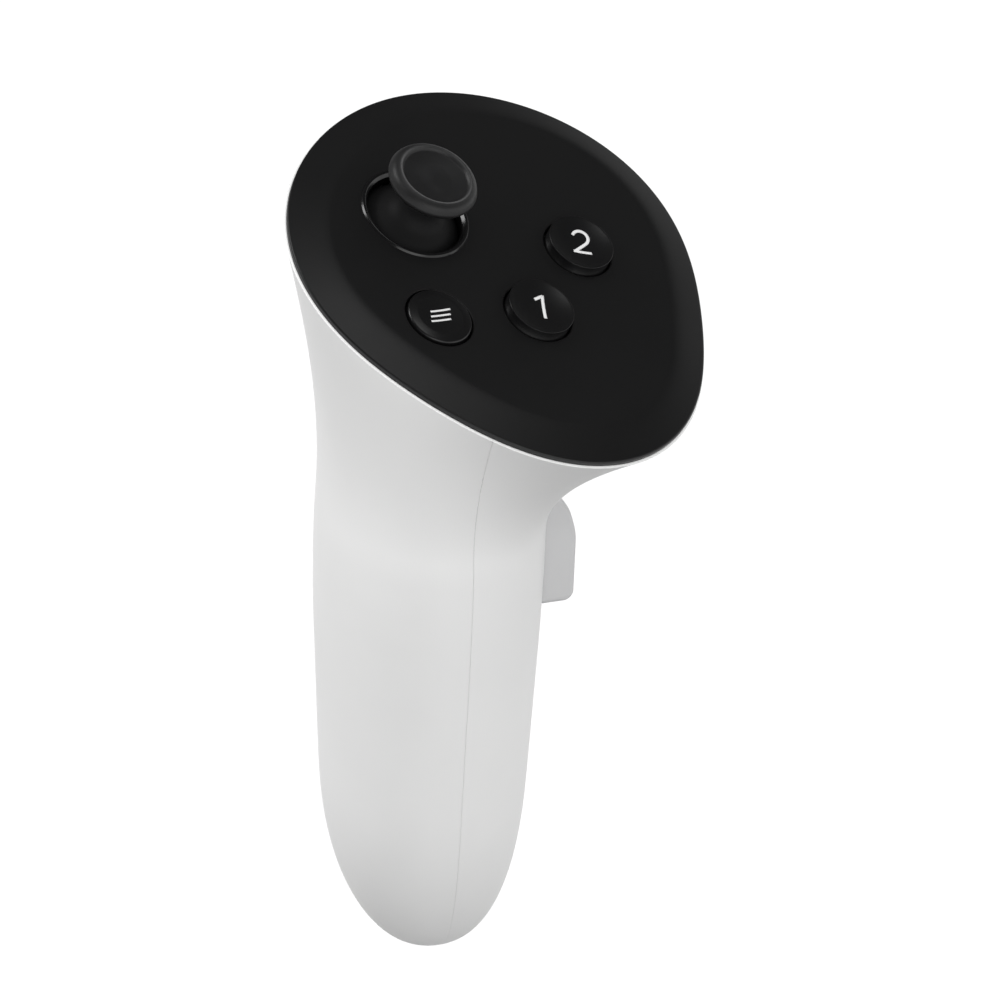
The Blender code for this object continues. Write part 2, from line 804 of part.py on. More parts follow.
def plate_profile():
    """(inset, height) round the faceplate, from the flat top over the band to the underside."""
    band = []
    for i in range(7):
        share = i / 6
        height = PLATE_EDGE + (PLATE_HEIGHT - PLATE_EDGE) * (1 - share ** 2.2)
        band.append((BAND_WIDTH * (1 - share), height))
    return band + [(GAP, GAP), (SEAT_WIDTH, GAP), (SEAT_WIDTH, PLATE_UNDER)]


def add_plate_bosses(plate, face):
    board_bosses = [(place, BOARD_TOP + GAP) for place in BOARD_SCREW_PLACES]
    bracket_places = [(TRIGGER_U + u, TRIGGER_V + v) for u, v in BRACKET_SCREW_OFFSETS]
    bracket_bosses = [(place, BRACKET_TOP + GAP) for place in bracket_places]
    for i, ((u, v), end) in enumerate(board_bosses + bracket_bosses):
        boss = rod(BOSS_RADIUS, end, PLATE_UNDER + GAP, (u, v, 0), "Z")
        join(plate, add_tool(f"plate_boss_{i}", boss, face))
        pilot = rod(SCREW_RADIUS + GAP, end - GAP, PLATE_HEIGHT - BLIND_SKIN, (u, v, 0), "Z")
        cut(plate, add_tool(f"plate_pilot_{i}", pilot, face))


def well_collar():
    """A low round pad on the faceplate, which the well turns into a collar."""
    outside = WELL_RADIUS + COLLAR_WIDTH
    top = PLATE_HEIGHT + COLLAR_RISE
    collar = turned(
        [
            (outside, PLATE_UNDER + GAP),
            (outside, PLATE_HEIGHT),
            (outside - COLLAR_RISE * 0.15, top - COLLAR_RISE * 0.35),
            (outside - COLLAR_RISE * 0.5, top),
        ]
    )
    bmesh.ops.translate(collar, vec=(*STICK_PLACE, 0), verts=collar.verts)
    return collar


def stick_well():
    """A round hole for the thumbstick with a chamfered mouth in its collar."""
    top = PLATE_HEIGHT + COLLAR_RISE
    well = turned(
        [
            (WELL_RADIUS, -THROUGH),
            (WELL_RADIUS, top - WELL_CHAMFER),
            (WELL_RADIUS + WELL_CHAMFER, top),
            (WELL_RADIUS + WELL_CHAMFER, THROUGH),
        ]
    )
    bmesh.ops.translate(well, vec=(*STICK_PLACE, 0), verts=well.verts)
    return well


def make_faceplate(materials, face):
    skin = loft([rim_ring(inset, height) for inset, height in plate_profile()])
    plate = add_object("faceplate", skin, materials["plate"], face)
    add_plate_bosses(plate, face)
    join(plate, add_tool("well_collar", well_collar(), face))
    cut(plate, add_tool("stick_well", stick_well(), face))
    for name, place, radius in (
        ("upper", UPPER_PLACE, BUTTON_RADIUS),
        ("lower", LOWER_PLACE, BUTTON_RADIUS),
        ("menu", MENU_PLACE, MENU_RADIUS),
    ):
        hole = rod(radius + GAP, -THROUGH, THROUGH, (*place, 0), "Z", ROUND_SEGMENTS)
        cut(plate, add_tool(f"{name}_hole", hole, face))


# Buttons, their domes and board


def button_profile(radius, crown):
    """Stem, flange under the faceplate, then the cap up to its crown."""
    foot = BOARD_TOP + GAP + DOME_HEIGHT + GAP
    top = PLATE_UNDER - GAP
    return [
        (0, foot),
        (DOME_RADIUS * 0.6, foot),
        (DOME_RADIUS * 0.6, top - FLANGE_THICKNESS),
        (radius + FLANGE, top - FLANGE_THICKNESS),
        (radius + FLANGE, top),
        (radius, top),
    ] + crown


def raised_crown():
    """A rounded shoulder up to the rim, then a dish that is steepest beside the rim."""
    top = PLATE_HEIGHT + BUTTON_RISE
    rim = BUTTON_RADIUS - BUTTON_SOFT
    shoulder = [
        (BUTTON_RADIUS, top - BUTTON_SOFT),
        (BUTTON_RADIUS - BUTTON_SOFT * 0.3, top - BUTTON_SOFT * 0.3),
        (rim, top),
    ]
    dish = [(rim * share, top - BUTTON_DISH * (1 - share ** 3)) for share in (0.85, 0.65, 0.4, 0)]
    return shoulder + dish


def low_crown():
    """A low crest round a very shallow dish, falling away to the edge."""
    top = PLATE_HEIGHT + MENU_RISE
    return [
        (MENU_RADIUS, top - MENU_RIM * 1.5),
        (MENU_RADIUS - MENU_RIM * 0.3, top - MENU_RIM * 0.8),
        (MENU_RADIUS - MENU_RIM, top - MENU_RIM * 0.5),
        (MENU_RADIUS * 0.70, top),
        (0, top - MENU_DISH),
    ]


def dome_profile():
    """A pressed metal dome on the board, under a button's stem."""
    foot = BOARD_TOP + GAP
    lean = [(DOME_RADIUS * math.cos(a), foot + DOME_HEIGHT * math.sin(a)) for a in (0.5, 1.0)]
    return [(0, foot), (DOME_RADIUS, foot), *lean, (0, foot + DOME_HEIGHT)]


def make_buttons(materials, face):
    for name, place, radius, crown in (
        ("upper_button", UPPER_PLACE, BUTTON_RADIUS, raised_crown()),
        ("lower_button", LOWER_PLACE, BUTTON_RADIUS, raised_crown()),
        ("menu_button", MENU_PLACE, MENU_RADIUS, low_crown()),
    ):
        frame = add_frame(f"{name}_axis", Matrix.Translation((*place, 0)), face)
        add_object(name, turned(button_profile(radius, crown)), materials["button"], frame)
        dome = turned(dome_profile(), SMALL_SEGMENTS)
        add_object(name.replace("button", "dome"), dome, materials["steel"], frame)


def board_outline():
    """(u, v) corners of the button board, inside the hollow of the head."""
    across = RIM_RADIUS
    return rounded(
        [
            (-0.598 * across, 0.379 * across, BUTTON_BOARD_CORNER),
            (-0.437 * across, BOARD_FRONT, BUTTON_BOARD_CORNER),
            (0.117 * across, BOARD_FRONT, BUTTON_BOARD_CORNER),
            (BOARD_SCREW_U + BOARD_EDGE, 0.364 * across, BUTTON_BOARD_CORNER),
            (0.437 * across, 0.117 * across, BUTTON_BOARD_CORNER),
            (0.481 * across, -0.233 * across, BUTTON_BOARD_CORNER),
            (0.321 * across, -0.466 * across, BUTTON_BOARD_CORNER),
            (-0.292 * across, -0.554 * across, BUTTON_BOARD_CORNER),
            (-0.569 * across, -0.452 * across, BUTTON_BOARD_CORNER),
            (-0.671 * across, -0.175 * across, BUTTON_BOARD_CORNER),
        ]
    )


def make_button_board(materials, face):
    sheet = prism(board_outline(), BOARD_UNDER, BOARD_TOP, along_z)
    board = add_object("button_board", sheet, materials["board"], face)
    hole = rod(MODULE_RADIUS + GAP, -THROUGH, THROUGH, (*STICK_PLACE, 0), "Z", ROUND_SEGMENTS)
    cut(board, add_tool("module_hole", hole, face))
    length = PLATE_UNDER - BOARD_UNDER - GAP
    for i, (u, v) in enumerate(BOARD_SCREW_PLACES):
        hole = rod(SCREW_RADIUS + GAP, -THROUGH, THROUGH, (u, v, 0), "Z")
        cut(board, add_tool(f"board_hole_{i}", hole, face))
        place = Matrix.Translation((u, v, BOARD_UNDER - GAP)) @ Matrix.Rotation(math.pi, 4, "X")
        add_object(f"board_screw_{i + 1}", screw_shape(length, place), materials["steel"], face)


def make_light_ring(materials, face):
    top = PLATE_UNDER - GAP
    foot = top - LIGHT_THICKNESS
    spacing = PLATE_SEGMENTS // LIGHT_COUNT
    outer_low, outer_high = [], []
    for height, kept in ((foot, outer_low), (top, outer_high)):
        plain = rim_ring(LIGHT_INSET, height)
        proud = rim_ring(LIGHT_INSET - LIGHT_PROUD, height)
        kept.extend(proud[i] if i % spacing < 2 else plain[i] for i in range(PLATE_SEGMENTS))
    inner = LIGHT_INSET + LIGHT_WIDTH
    strip = loft([outer_low, outer_high, rim_ring(inner, top), rim_ring(inner, foot)], closed=True)
    add_object("light_ring", strip, materials["board"], face)


# Thumbstick


def make_thumbstick(materials, face):
    pivot = add_frame("stick_pivot", Matrix.Translation((*STICK_PLACE, STICK_PIVOT)), face)
    make_stick_module(materials, pivot)
    make_gimbals(materials, pivot)
    make_stick(materials, pivot)


def make_stick_module(materials, pivot):
    cavity = GIMBAL_RADIUS + 2 * GAP
    top = GIMBAL_PIN + 2 * GAP
    foot = -MODULE_DEPTH
    floor = foot + MODULE_FLOOR
    outside = [(0, foot), (MODULE_RADIUS, foot), (MODULE_RADIUS, top)]
    inside = [(cavity, top), (cavity, floor), (0, floor)]
    housing = add_object("stick_module", turned(outside + inside), materials["dark"], pivot)
    under = BOARD_UNDER - GAP - STICK_PIVOT
    low = under - MODULE_FLANGE_THICKNESS
    near = (cavity + GAP, -MODULE_FLANGE_HALF, low)
    far = (MODULE_RADIUS + MODULE_FLANGE, MODULE_FLANGE_HALF, under)
    join(housing, add_tool("module_flange", block(near, far), pivot))
    bearing = rod(GIMBAL_PIN + GAP, -THROUGH, THROUGH, (0, 0, 0), "X")
    cut(housing, add_tool("module_bearing", bearing, pivot))
    seat = floor + GAP
    top = seat + SWITCH_HEIGHT
    switch = [(0, seat), (SWITCH_RADIUS, seat), (SWITCH_RADIUS * 0.8, top - SWITCH_HEIGHT / 6), (0, top)]
    add_object("stick_switch", turned(switch, SMALL_SEGMENTS), materials["steel"], pivot)
    side = MODULE_RADIUS + GAP
    half = SENSOR_SIZE / 2
    sensor_u = block((side, -half, foot), (side + SENSOR_THICKNESS, half, low - GAP))
    add_object("tilt_sensor_side", sensor_u, materials["dark"], pivot)
    sensor_v = block((-half, -side - SENSOR_THICKNESS, foot), (half, -side, under))
    add_object("tilt_sensor_back", sensor_v, materials["dark"], pivot)


def make_gimbals(materials, pivot):
    inner = GIMBAL_RADIUS - GIMBAL_WIDTH
    half = GIMBAL_HEIGHT / 2
    loop = [(GIMBAL_RADIUS, -half), (GIMBAL_RADIUS, half), (inner, half), (inner, -half)]
    outer = add_object("outer_gimbal", turned(loop, ROUND_SEGMENTS, closed=True), materials["steel"], pivot)
    reach = MODULE_RADIUS - GAP
    for name, start, end in (("low", -reach, -inner - GAP), ("high", inner + GAP, reach)):
        join(outer, add_tool(f"outer_axle_{name}", rod(GIMBAL_PIN, start, end, (0, 0, 0), "X"), pivot))
    cut(outer, add_tool("outer_bore", rod(GIMBAL_PIN + GAP, -reach, reach, (0, 0, 0), "Y"), pivot))
    bore = SHAFT_RADIUS + GAP
    angle = math.asin(bore / BALL_RADIUS)
    ball = turned(arc(BALL_RADIUS, angle, math.pi - angle, 8), ROUND_SEGMENTS, closed=True)
    knuckle = add_object("inner_gimbal", ball, materials["steel"], pivot)
    end = GIMBAL_RADIUS - GAP
    for name, start, stop in (("low", -end, -bore - 2 * GAP), ("high", bore + 2 * GAP, end)):
        join(knuckle, add_tool(f"inner_axle_{name}", rod(GIMBAL_PIN, start, stop, (0, 0, 0), "Y"), pivot))


def make_stick(materials, pivot):
    inner_ball = SKIRT_BALL - SKIRT_SHELL
    foot = 3 * GAP - BALL_RADIUS
    tenon_top = CAP_ABOVE_PIVOT + CAP_HEIGHT * 0.45
    tenon = SHAFT_RADIUS - GAP
    profile = [(0, foot), (SHAFT_RADIUS, foot)]
    profile += arc(inner_ball, math.asin(SHAFT_RADIUS / inner_ball), SKIRT_REACH, 6)
    flare_angle = math.asin((STEM_RADIUS + STEM_FLARE) / SKIRT_BALL)
    flare_foot = SKIRT_BALL * math.cos(flare_angle)
    profile += arc(SKIRT_BALL, SKIRT_REACH, flare_angle, 6)
    profile += [
        (STEM_RADIUS + STEM_FLARE * 0.42, flare_foot + STEM_FLARE_HEIGHT * 0.30),
        (STEM_RADIUS + STEM_FLARE * 0.12, flare_foot + STEM_FLARE_HEIGHT * 0.62),
        (STEM_RADIUS, flare_foot + STEM_FLARE_HEIGHT),
        (STEM_RADIUS, CAP_ABOVE_PIVOT - GAP),
        (tenon, CAP_ABOVE_PIVOT - GAP),
        (tenon, tenon_top),
        (0, tenon_top),
    ]
    add_object("thumbstick_shaft", turned(profile), materials["dark"], pivot)
    low = CAP_ABOVE_PIVOT
    top = low + CAP_HEIGHT
    socket = tenon + GAP
    cap = [
        (0, tenon_top + GAP),
        (socket, tenon_top + GAP),
        (socket, low),
        (CAP_RADIUS * 0.68, low),
        (CAP_RADIUS * 0.82, low + CAP_HEIGHT * 0.14),
        (CAP_RADIUS * 0.90, low + CAP_HEIGHT * 0.30),
        (CAP_RADIUS * 0.965, low + CAP_HEIGHT * 0.46),
        (CAP_RADIUS, low + CAP_HEIGHT * 0.62),
        (CAP_RADIUS * 0.985, low + CAP_HEIGHT * 0.77),
        (CAP_RADIUS * 0.93, low + CAP_HEIGHT * 0.92),
        (CAP_RADIUS * 0.85, top),
        (CAP_RADIUS * 0.79, top - CAP_DISH * 0.12),
        (CAP_RADIUS * 0.55, top - CAP_DISH * 0.62),
        (CAP_RADIUS * 0.28, top - CAP_DISH * 0.92),
        (0, top - CAP_DISH),
    ]
    add_object("thumbstick_cap", turned(cap, 36), materials["rubber"], pivot)


# Index trigger


def trigger_outline():
    """(v, h) corners with radii, from the hub down the finger side and back up behind."""
    hub = TRIGGER_HUB
    reach = TRIGGER_REACH
    bulge = TRIGGER_BULGE
    back = TRIGGER_BACK
    tip = 0.62 * bulge
    return rounded(
        [
            (-hub, hub, 0.0021),
            (hub, hub, 0.0021),
            (0.67 * bulge, -0.12 * reach, 0.0020),
            (bulge, -0.29 * reach, 0.0025),
            (0.77 * bulge, -0.56 * reach, 0.0090),
            (0.58 * bulge, -0.80 * reach, 0.0090),
            (tip, -reach, 0.0012),
            (tip - TRIGGER_TIP, -reach, 0.0012),
            (0.05 * bulge, -0.78 * reach, 0.0060),
            (-back, -0.47 * reach, 0.0060),
            (-0.9 * back, -0.18 * reach, 0.0040),
        ]
    )


def make_trigger(materials, face):
    pivot = add_frame("trigger_pivot", Matrix.Translation((TRIGGER_U, TRIGGER_V, TRIGGER_H)), face)
    half = TRIGGER_WIDTH / 2
    blade = prism(trigger_outline(), -half, half, along_x)
    trigger = add_object("index_trigger", blade, materials["shell"], pivot)
    soften(trigger, TRIGGER_EDGE)
    bore = rod(TRIGGER_PIN + GAP, -THROUGH, THROUGH, (0, 0, 0), "X")
    cut(trigger, add_tool("trigger_bore", bore, pivot))
    pocket = rod(POCKET_RADIUS, half - POCKET_DEPTH, THROUGH, (0, 0, 0), "X", ROUND_SEGMENTS)
    cut(trigger, add_tool("spring_pocket", pocket, pivot))
    ear_inner = half + TRIGGER_SIDE_GAP
    ear_outer = ear_inner + BRACKET_WALL
    pin = rod(TRIGGER_PIN, -ear_outer, ear_outer, (0, 0, 0), "X")
    add_object("trigger_pin", pin, materials["steel"], pivot)
    make_trigger_spring(materials, pivot, half)
    make_trigger_bracket(materials, pivot, ear_inner, ear_outer)
    make_trigger_sensing(materials, pivot, face)


def make_trigger_spring(materials, pivot, half):
    radius = TRIGGER_PIN + 2 * GAP + TRIGGER_WIRE
    tail = 4 * TRIGGER_WIRE
    start = half - POCKET_DEPTH + GAP + TRIGGER_WIRE
    path = coil(radius, start, half - TRIGGER_WIRE - GAP / 3, TRIGGER_TURNS, along_x)
    path.insert(0, path[0] + Vector((0, 0, -tail)))
    path.append(path[-1] + Vector((0, -tail, 0)))
    spring_wire("trigger_spring", path, TRIGGER_WIRE, materials["steel"], pivot)


def make_trigger_sensing(materials, pivot, face):
    """A magnet on the back of the blade, and the chip on the board's edge that reads it."""
    back = -TRIGGER_BACK - GAP
    height = -TRIGGER_MAGNET_DROP
    low = (-MAGNET_HALF, back - MAGNET_THICKNESS, height - MAGNET_HALF)
    magnet = block(low, (MAGNET_HALF, back, height + MAGNET_HALF))
    add_object("trigger_magnet", magnet, materials["steel"], pivot)
    top = BOARD_UNDER - GAP
    front = BOARD_FRONT - 2 * GAP
    low = (TRIGGER_U - CHIP_HALF, front - 2 * CHIP_HALF, top - CHIP_THICKNESS)
    chip = block(low, (TRIGGER_U + CHIP_HALF, front, top))
    add_object("trigger_sensor", chip, materials["dark"], face)


def make_trigger_bracket(materials, pivot, ear_inner, ear_outer):
    """A yoke under the faceplate: two ears for the pin, and a tab behind for its screws."""
    top = BRACKET_TOP - TRIGGER_H
    foot = top - BRACKET_WALL
    half = TRIGGER_PIN + GAP + EAR_EDGE
    yoke = [
        (-ear_outer, -half),
        (-ear_inner, -half),
        (-ear_inner, foot),
        (ear_inner, foot),
        (ear_inner, -half),
        (ear_outer, -half),
        (ear_outer, top),
        (-ear_outer, top),
    ]
    bracket = add_object("trigger_bracket", prism(yoke, -half, half, along_y), materials["dark"], pivot)
    places = BRACKET_SCREW_OFFSETS
    margin = SCREW_HEAD + GAP
    low = (places[0][0] - margin, places[0][1] - margin, foot + GAP / 3)
    high = (places[1][0] + margin, 0, top - GAP / 3)
    join(bracket, add_tool("bracket_tab", block(low, high), pivot))
    bore = rod(TRIGGER_PIN + GAP, -THROUGH, THROUGH, (0, 0, 0), "X")
    cut(bracket, add_tool("bracket_bore", bore, pivot))
    length = PLATE_UNDER - BRACKET_TOP + BRACKET_WALL
    for i, (u, v) in enumerate(places):
        hole = rod(SCREW_RADIUS + GAP, foot - GAP, top + GAP, (u, v, 0), "Z")
        cut(bracket, add_tool(f"bracket_hole_{i}", hole, pivot))
        place = Matrix.Translation((u, v, foot - GAP)) @ Matrix.Rotation(math.pi, 4, "X")
        add_object(f"bracket_screw_{i + 1}", screw_shape(length, place), materials["steel"], pivot)


# Grip lever


def grip_outline():
    """(x, z) corners from the pivot, with radii: the hub, the bulging finger side, the flat foot."""
    pivot_x, pivot_z = GRIP_PIVOT
    hub = GRIP_HUB
    reach = GRIP_REACH - pivot_x
    foot = GRIP_FOOT - pivot_z
    return rounded(
        [
            (-hub, hub, 0.0019),
            (hub * 0.8, hub, 0.0010),
            (reach * 0.42, hub * 0.1, 0.0030),
            (reach * 0.83, foot * 0.20, 0.0080),
            (reach, foot * 0.42, 0.0110),
            (reach * 0.985, foot, 0.0017),
            (-GRIP_BACK / 2, foot, 0.0008),
            (-GRIP_BACK, foot * 0.30, 0.0030),
            (-hub, foot * 0.10, 0.0010),
        ]
    )


def make_grip(materials):
    pivot_x, pivot_z = GRIP_PIVOT
    pivot = add_frame("grip_pivot", Matrix.Translation((pivot_x, 0, pivot_z)))
    half = GRIP_WIDTH / 2
    lever = add_object("grip_lever", prism(grip_outline(), -half, half, along_y), materials["grip"], pivot)
    soften(lever, GRIP_EDGE)
    bore = rod(GRIP_PIN + GAP, -THROUGH, THROUGH, (0, 0, 0), "Y")
    cut(lever, add_tool("grip_bore", bore, pivot))
    end = half + 2 * GRIP_SIDE_GAP + GRIP_EAR
    add_object("grip_pin", rod(GRIP_PIN, -end, end, (0, 0, 0), "Y"), materials["steel"], pivot)
    make_grip_spring(materials)
    make_grip_sensing(materials)


def make_grip_spring(materials):
    """A small coil between the tray's side and the back of the lever."""
    start = TRAY_HALF_WIDTH + GAP + GRIP_WIRE
    end = GRIP_PIVOT[0] - GRIP_BACK - GAP - GRIP_WIRE
    height = GRIP_FOOT + GRIP_SPRING_RISE
    upright = coil(GRIP_SPRING_RADIUS, start, end, GRIP_TURNS, along_x)
    path = [point + Vector((0, 0, height)) for point in upright]
    spring_wire("grip_spring", path, GRIP_WIRE, materials["steel"], None)


def make_grip_sensing(materials):
    """A magnet on the back of the lever, and the chip on the tray's side that reads it."""
    height = GRIP_PIVOT[1] - GRIP_MAGNET_DROP
    back = GRIP_PIVOT[0] - GRIP_BACK - GAP
    low = (back - MAGNET_THICKNESS, -MAGNET_HALF, height - MAGNET_HALF)
    add_object("grip_magnet", block(low, (back, MAGNET_HALF, height + MAGNET_HALF)), materials["steel"])
    side = TRAY_HALF_WIDTH + GAP
    low = (side, -CHIP_HALF, height - CHIP_HALF)
    chip = block(low, (side + CHIP_THICKNESS, CHIP_HALF, height + CHIP_HALF))
    add_object("grip_sensor", chip, materials["dark"])


# Battery, tray and boards in the handle


def make_tray(materials):
    low = (-TRAY_HALF_WIDTH, TRAY_BACK, TRAY_FOOT)
    solid = block(low, (TRAY_HALF_WIDTH, TRAY_FRONT - GAP, TRAY_TOP))
    tray = add_object("battery_tray", solid, materials["dark"])
    channel = BATTERY_RADIUS + GAP
    foot = BATTERY_FOOT - BATTERY_SPRING_LENGTH - BATTERY_WIRE - GAP
    top = BATTERY_FOOT + BATTERY_LENGTH + 2 * CONTACT_THICKNESS + 2 * GAP
    bay = rod(channel, foot, top, (0, BATTERY_Y, 0), "Z", ROUND_SEGMENTS)
    cut(tray, add_tool("battery_bay", bay))
    mouth = block((-channel, BATTERY_Y, foot), (channel, OUTSIDE, top))
    cut(tray, add_tool("battery_mouth", mouth))
    for name, x, z in tray_screws():
        add_tray_tab(tray, name, x, z, materials)


def add_tray_tab(tray, name, x, z, materials):
    """A lug on the tray's end with its screw, whose head sits on the lug's front."""
    side = SCREW_HEAD + GAP
    front = TRAY_BACK + TAB_THICKNESS
    if z > BATTERY_FOOT:
        low, high = TRAY_TOP - GAP, z + side
    else:
        low, high = z - side, TRAY_FOOT + GAP
    tab = block((x - side, TRAY_BACK, low), (x + side, front, high))
    join(tray, add_tool(f"tab_{name}", tab))
    hole = rod(SCREW_RADIUS + GAP, TRAY_BACK - GAP, front + GAP, (x, 0, z), "Y")
    cut(tray, add_tool(f"tab_hole_{name}", hole))
    seat = front + GAP
    place = Matrix.Translation((x, seat, z)) @ Matrix.Rotation(-math.pi / 2, 4, "X")
    shape = screw_shape(seat - boss_root(x, z) - WALL - GAP, place)
    add_object(f"tray_screw_{name}", shape, materials["steel"])


def make_battery(materials):
    top = BATTERY_LENGTH - BATTERY_NUB
    soft = BATTERY_SHOULDER / 2
    profile = [
        (0, 0),
        (BATTERY_RADIUS - BATTERY_SHOULDER, 0),
        (BATTERY_RADIUS, soft),
        (BATTERY_RADIUS, top - soft),
        (BATTERY_RADIUS - BATTERY_SHOULDER, top),
        (BATTERY_NUB_RADIUS, top),
        (BATTERY_NUB_RADIUS, BATTERY_LENGTH),
        (0, BATTERY_LENGTH),
    ]
    frame = add_frame("battery_axis", Matrix.Translation((0, BATTERY_Y, BATTERY_FOOT)))
    add_object("battery", turned(profile), materials["battery"], frame)
    foot = BATTERY_LENGTH + GAP
    low = (-CONTACT_HALF, -CONTACT_HALF, foot)
    contact = block(low, (CONTACT_HALF, CONTACT_HALF, foot + CONTACT_THICKNESS))
    add_object("battery_contact", contact, materials["steel"], frame)
    path = coil(BATTERY_SPRING_RADIUS, -BATTERY_SPRING_LENGTH, -GAP - BATTERY_WIRE, BATTERY_TURNS, along_z)
    spring_wire("battery_spring", path, BATTERY_WIRE, materials["steel"], frame)


def panel(half_width, foot, top, corner):
    """The outline of an upright rectangle with round corners."""
    sides = ((-half_width, foot), (half_width, foot), (half_width, top), (-half_width, top))
    return rounded([(x, z, corner) for x, z in sides])


def make_main_board(materials):
    front = TRAY_BACK - GAP
    back = front - MAIN_BOARD_THICKNESS
    board = panel(MAIN_BOARD_HALF_WIDTH, MAIN_BOARD_FOOT, MAIN_BOARD_TOP, BOARD_CORNER)
    add_object("main_board", prism(board, back, front, along_y), materials["board"])
    seat = back - GAP
    low = (-SHIELD_HALF_WIDTH, seat - SHIELD_THICKNESS, SHIELD_FOOT)
    add_object("radio_shield", block(low, (SHIELD_HALF_WIDTH, seat, SHIELD_TOP)), materials["steel"])
    motor = panel(MOTOR_HALF_WIDTH, MOTOR_FOOT, MOTOR_TOP, MOTOR_CORNER)
    add_object("vibration_motor", prism(motor, seat - MOTOR_THICKNESS, seat, along_y), materials["steel"])
    make_cable(materials, seat)
    make_aerial(materials)


def make_aerial(materials):
    """A thin strip against the inside of the left wall."""
    corner = math.pi - math.atan2(AERIAL_HALF_WIDTH, NECK_HALF_WIDTH)
    near = handle_radius(corner, AERIAL_FOOT) * math.cos(corner) + WALL + GAP
    low = (near, -AERIAL_HALF_WIDTH, AERIAL_FOOT)
    strip = block(low, (near + AERIAL_THICKNESS, AERIAL_HALF_WIDTH, AERIAL_TOP))
    add_object("aerial_strip", strip, materials["copper"])


def make_cable(materials, seat):
    """The flat cable from the back of the main board up to the underside of the button board."""
    half = CABLE_THICKNESS / 2
    start = seat - half
    rise = CABLE_TOP - CABLE_FOOT
    path = [
        (start, CABLE_FOOT),
        (start, CABLE_FOOT + rise * 0.34),
        (start - CABLE_SLACK, CABLE_FOOT + rise * 0.60),
        (start, CABLE_FOOT + rise * 0.85),
        (start + CABLE_SLACK, CABLE_TOP),
    ]
    near = [(y + half, z) for y, z in path]
    far = [(y - half, z) for y, z in reversed(path)]
    cable = prism(near + far, SEAM_X - CABLE_WIDTH / 2, SEAM_X + CABLE_WIDTH / 2, along_x)
    add_object("flat_cable", cable, materials["copper"])


def make_materials():
    return {
        "shell": plain_material("white_plastic", (0.80, 0.80, 0.80), 0.45),
        "grip": plain_material("grip_plastic", (0.62, 0.62, 0.63), 0.5),
        "plate": plain_material("black_plastic", (0.012, 0.012, 0.012), 0.45),
        "button": plain_material("button_plastic", (0.016, 0.016, 0.016), 0.4),
        "rubber": plain_material("black_rubber", (0.018, 0.018, 0.018), 0.6),
        "dark": plain_material("dark_nylon", (0.03, 0.03, 0.032), 0.55),
        "steel": plain_material("bright_steel", (0.55, 0.55, 0.56), 0.3, 1.0),
        "copper": plain_material("amber_film", (0.45, 0.22, 0.05), 0.4),
        "board": plain_material("green_board", (0.02, 0.10, 0.04), 0.5),
        "battery": plain_material("battery_wrap", (0.10, 0.16, 0.22), 0.35),
    }


def main():
    clear_scene()
    materials = make_materials()
    face = add_frame("face_frame", FACE)
    make_shells(materials, face)
    make_lanyard_pin(materials)
    make_faceplate(materials, face)
    make_buttons(materials, face)
    make_button_board(materials, face)
    make_light_ring(materials, face)
    make_thumbstick(materials, face)
    make_trigger(materials, face)
    make_grip(materials)
    make_tray(materials)
    make_battery(materials)
    make_main_board(materials)


main()
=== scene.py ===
# %% [markdown]
# # A motion controller for the left hand
# The object is a white plastic handle that flares into a wide, tilted head. A black oval faceplate
# closes the head, with a thumbstick, two round buttons and a menu button on it. A grip lever sticks
# out on the right, an index trigger and a battery door are on the far side.
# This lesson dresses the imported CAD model: it keeps the CAD pieces inside, and models the ones that show
# again, with finer curves, real edges and real finishes.

# %% Load the fixed frame
import json
import math

import bmesh
import bpy
from mathutils import Euler, Matrix, Vector
from mathutils.kdtree import KDTree

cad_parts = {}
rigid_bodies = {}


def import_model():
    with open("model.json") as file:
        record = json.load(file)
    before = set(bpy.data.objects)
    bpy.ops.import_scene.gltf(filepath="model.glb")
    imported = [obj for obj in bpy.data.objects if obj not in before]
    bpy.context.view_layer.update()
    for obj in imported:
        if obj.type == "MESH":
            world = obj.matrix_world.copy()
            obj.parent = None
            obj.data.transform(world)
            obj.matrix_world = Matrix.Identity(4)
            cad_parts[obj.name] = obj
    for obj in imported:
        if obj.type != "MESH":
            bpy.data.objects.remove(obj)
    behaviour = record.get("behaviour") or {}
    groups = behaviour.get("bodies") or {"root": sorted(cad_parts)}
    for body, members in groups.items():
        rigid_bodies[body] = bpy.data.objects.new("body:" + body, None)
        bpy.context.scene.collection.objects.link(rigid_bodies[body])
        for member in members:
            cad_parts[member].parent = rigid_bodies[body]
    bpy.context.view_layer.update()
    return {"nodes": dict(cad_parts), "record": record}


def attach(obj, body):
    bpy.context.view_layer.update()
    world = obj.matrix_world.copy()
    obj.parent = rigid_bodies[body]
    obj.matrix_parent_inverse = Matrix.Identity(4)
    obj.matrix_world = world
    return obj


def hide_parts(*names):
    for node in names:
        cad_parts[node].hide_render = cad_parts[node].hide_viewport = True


for start_object in list(bpy.data.objects):
    bpy.data.objects.remove(start_object)
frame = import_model()
for old_finish in list(bpy.data.materials):
    bpy.data.materials.remove(old_finish)

# %% [markdown]
# ## Shader sums in plain Python
# A finish is a small network of nodes. Clicking nodes together is fine for one material, but ten
# finishes are easier to read as sums. A class wraps one socket and adds a Math node for each sign,
# and one method adds any other kind of node, setting its options before its sockets.


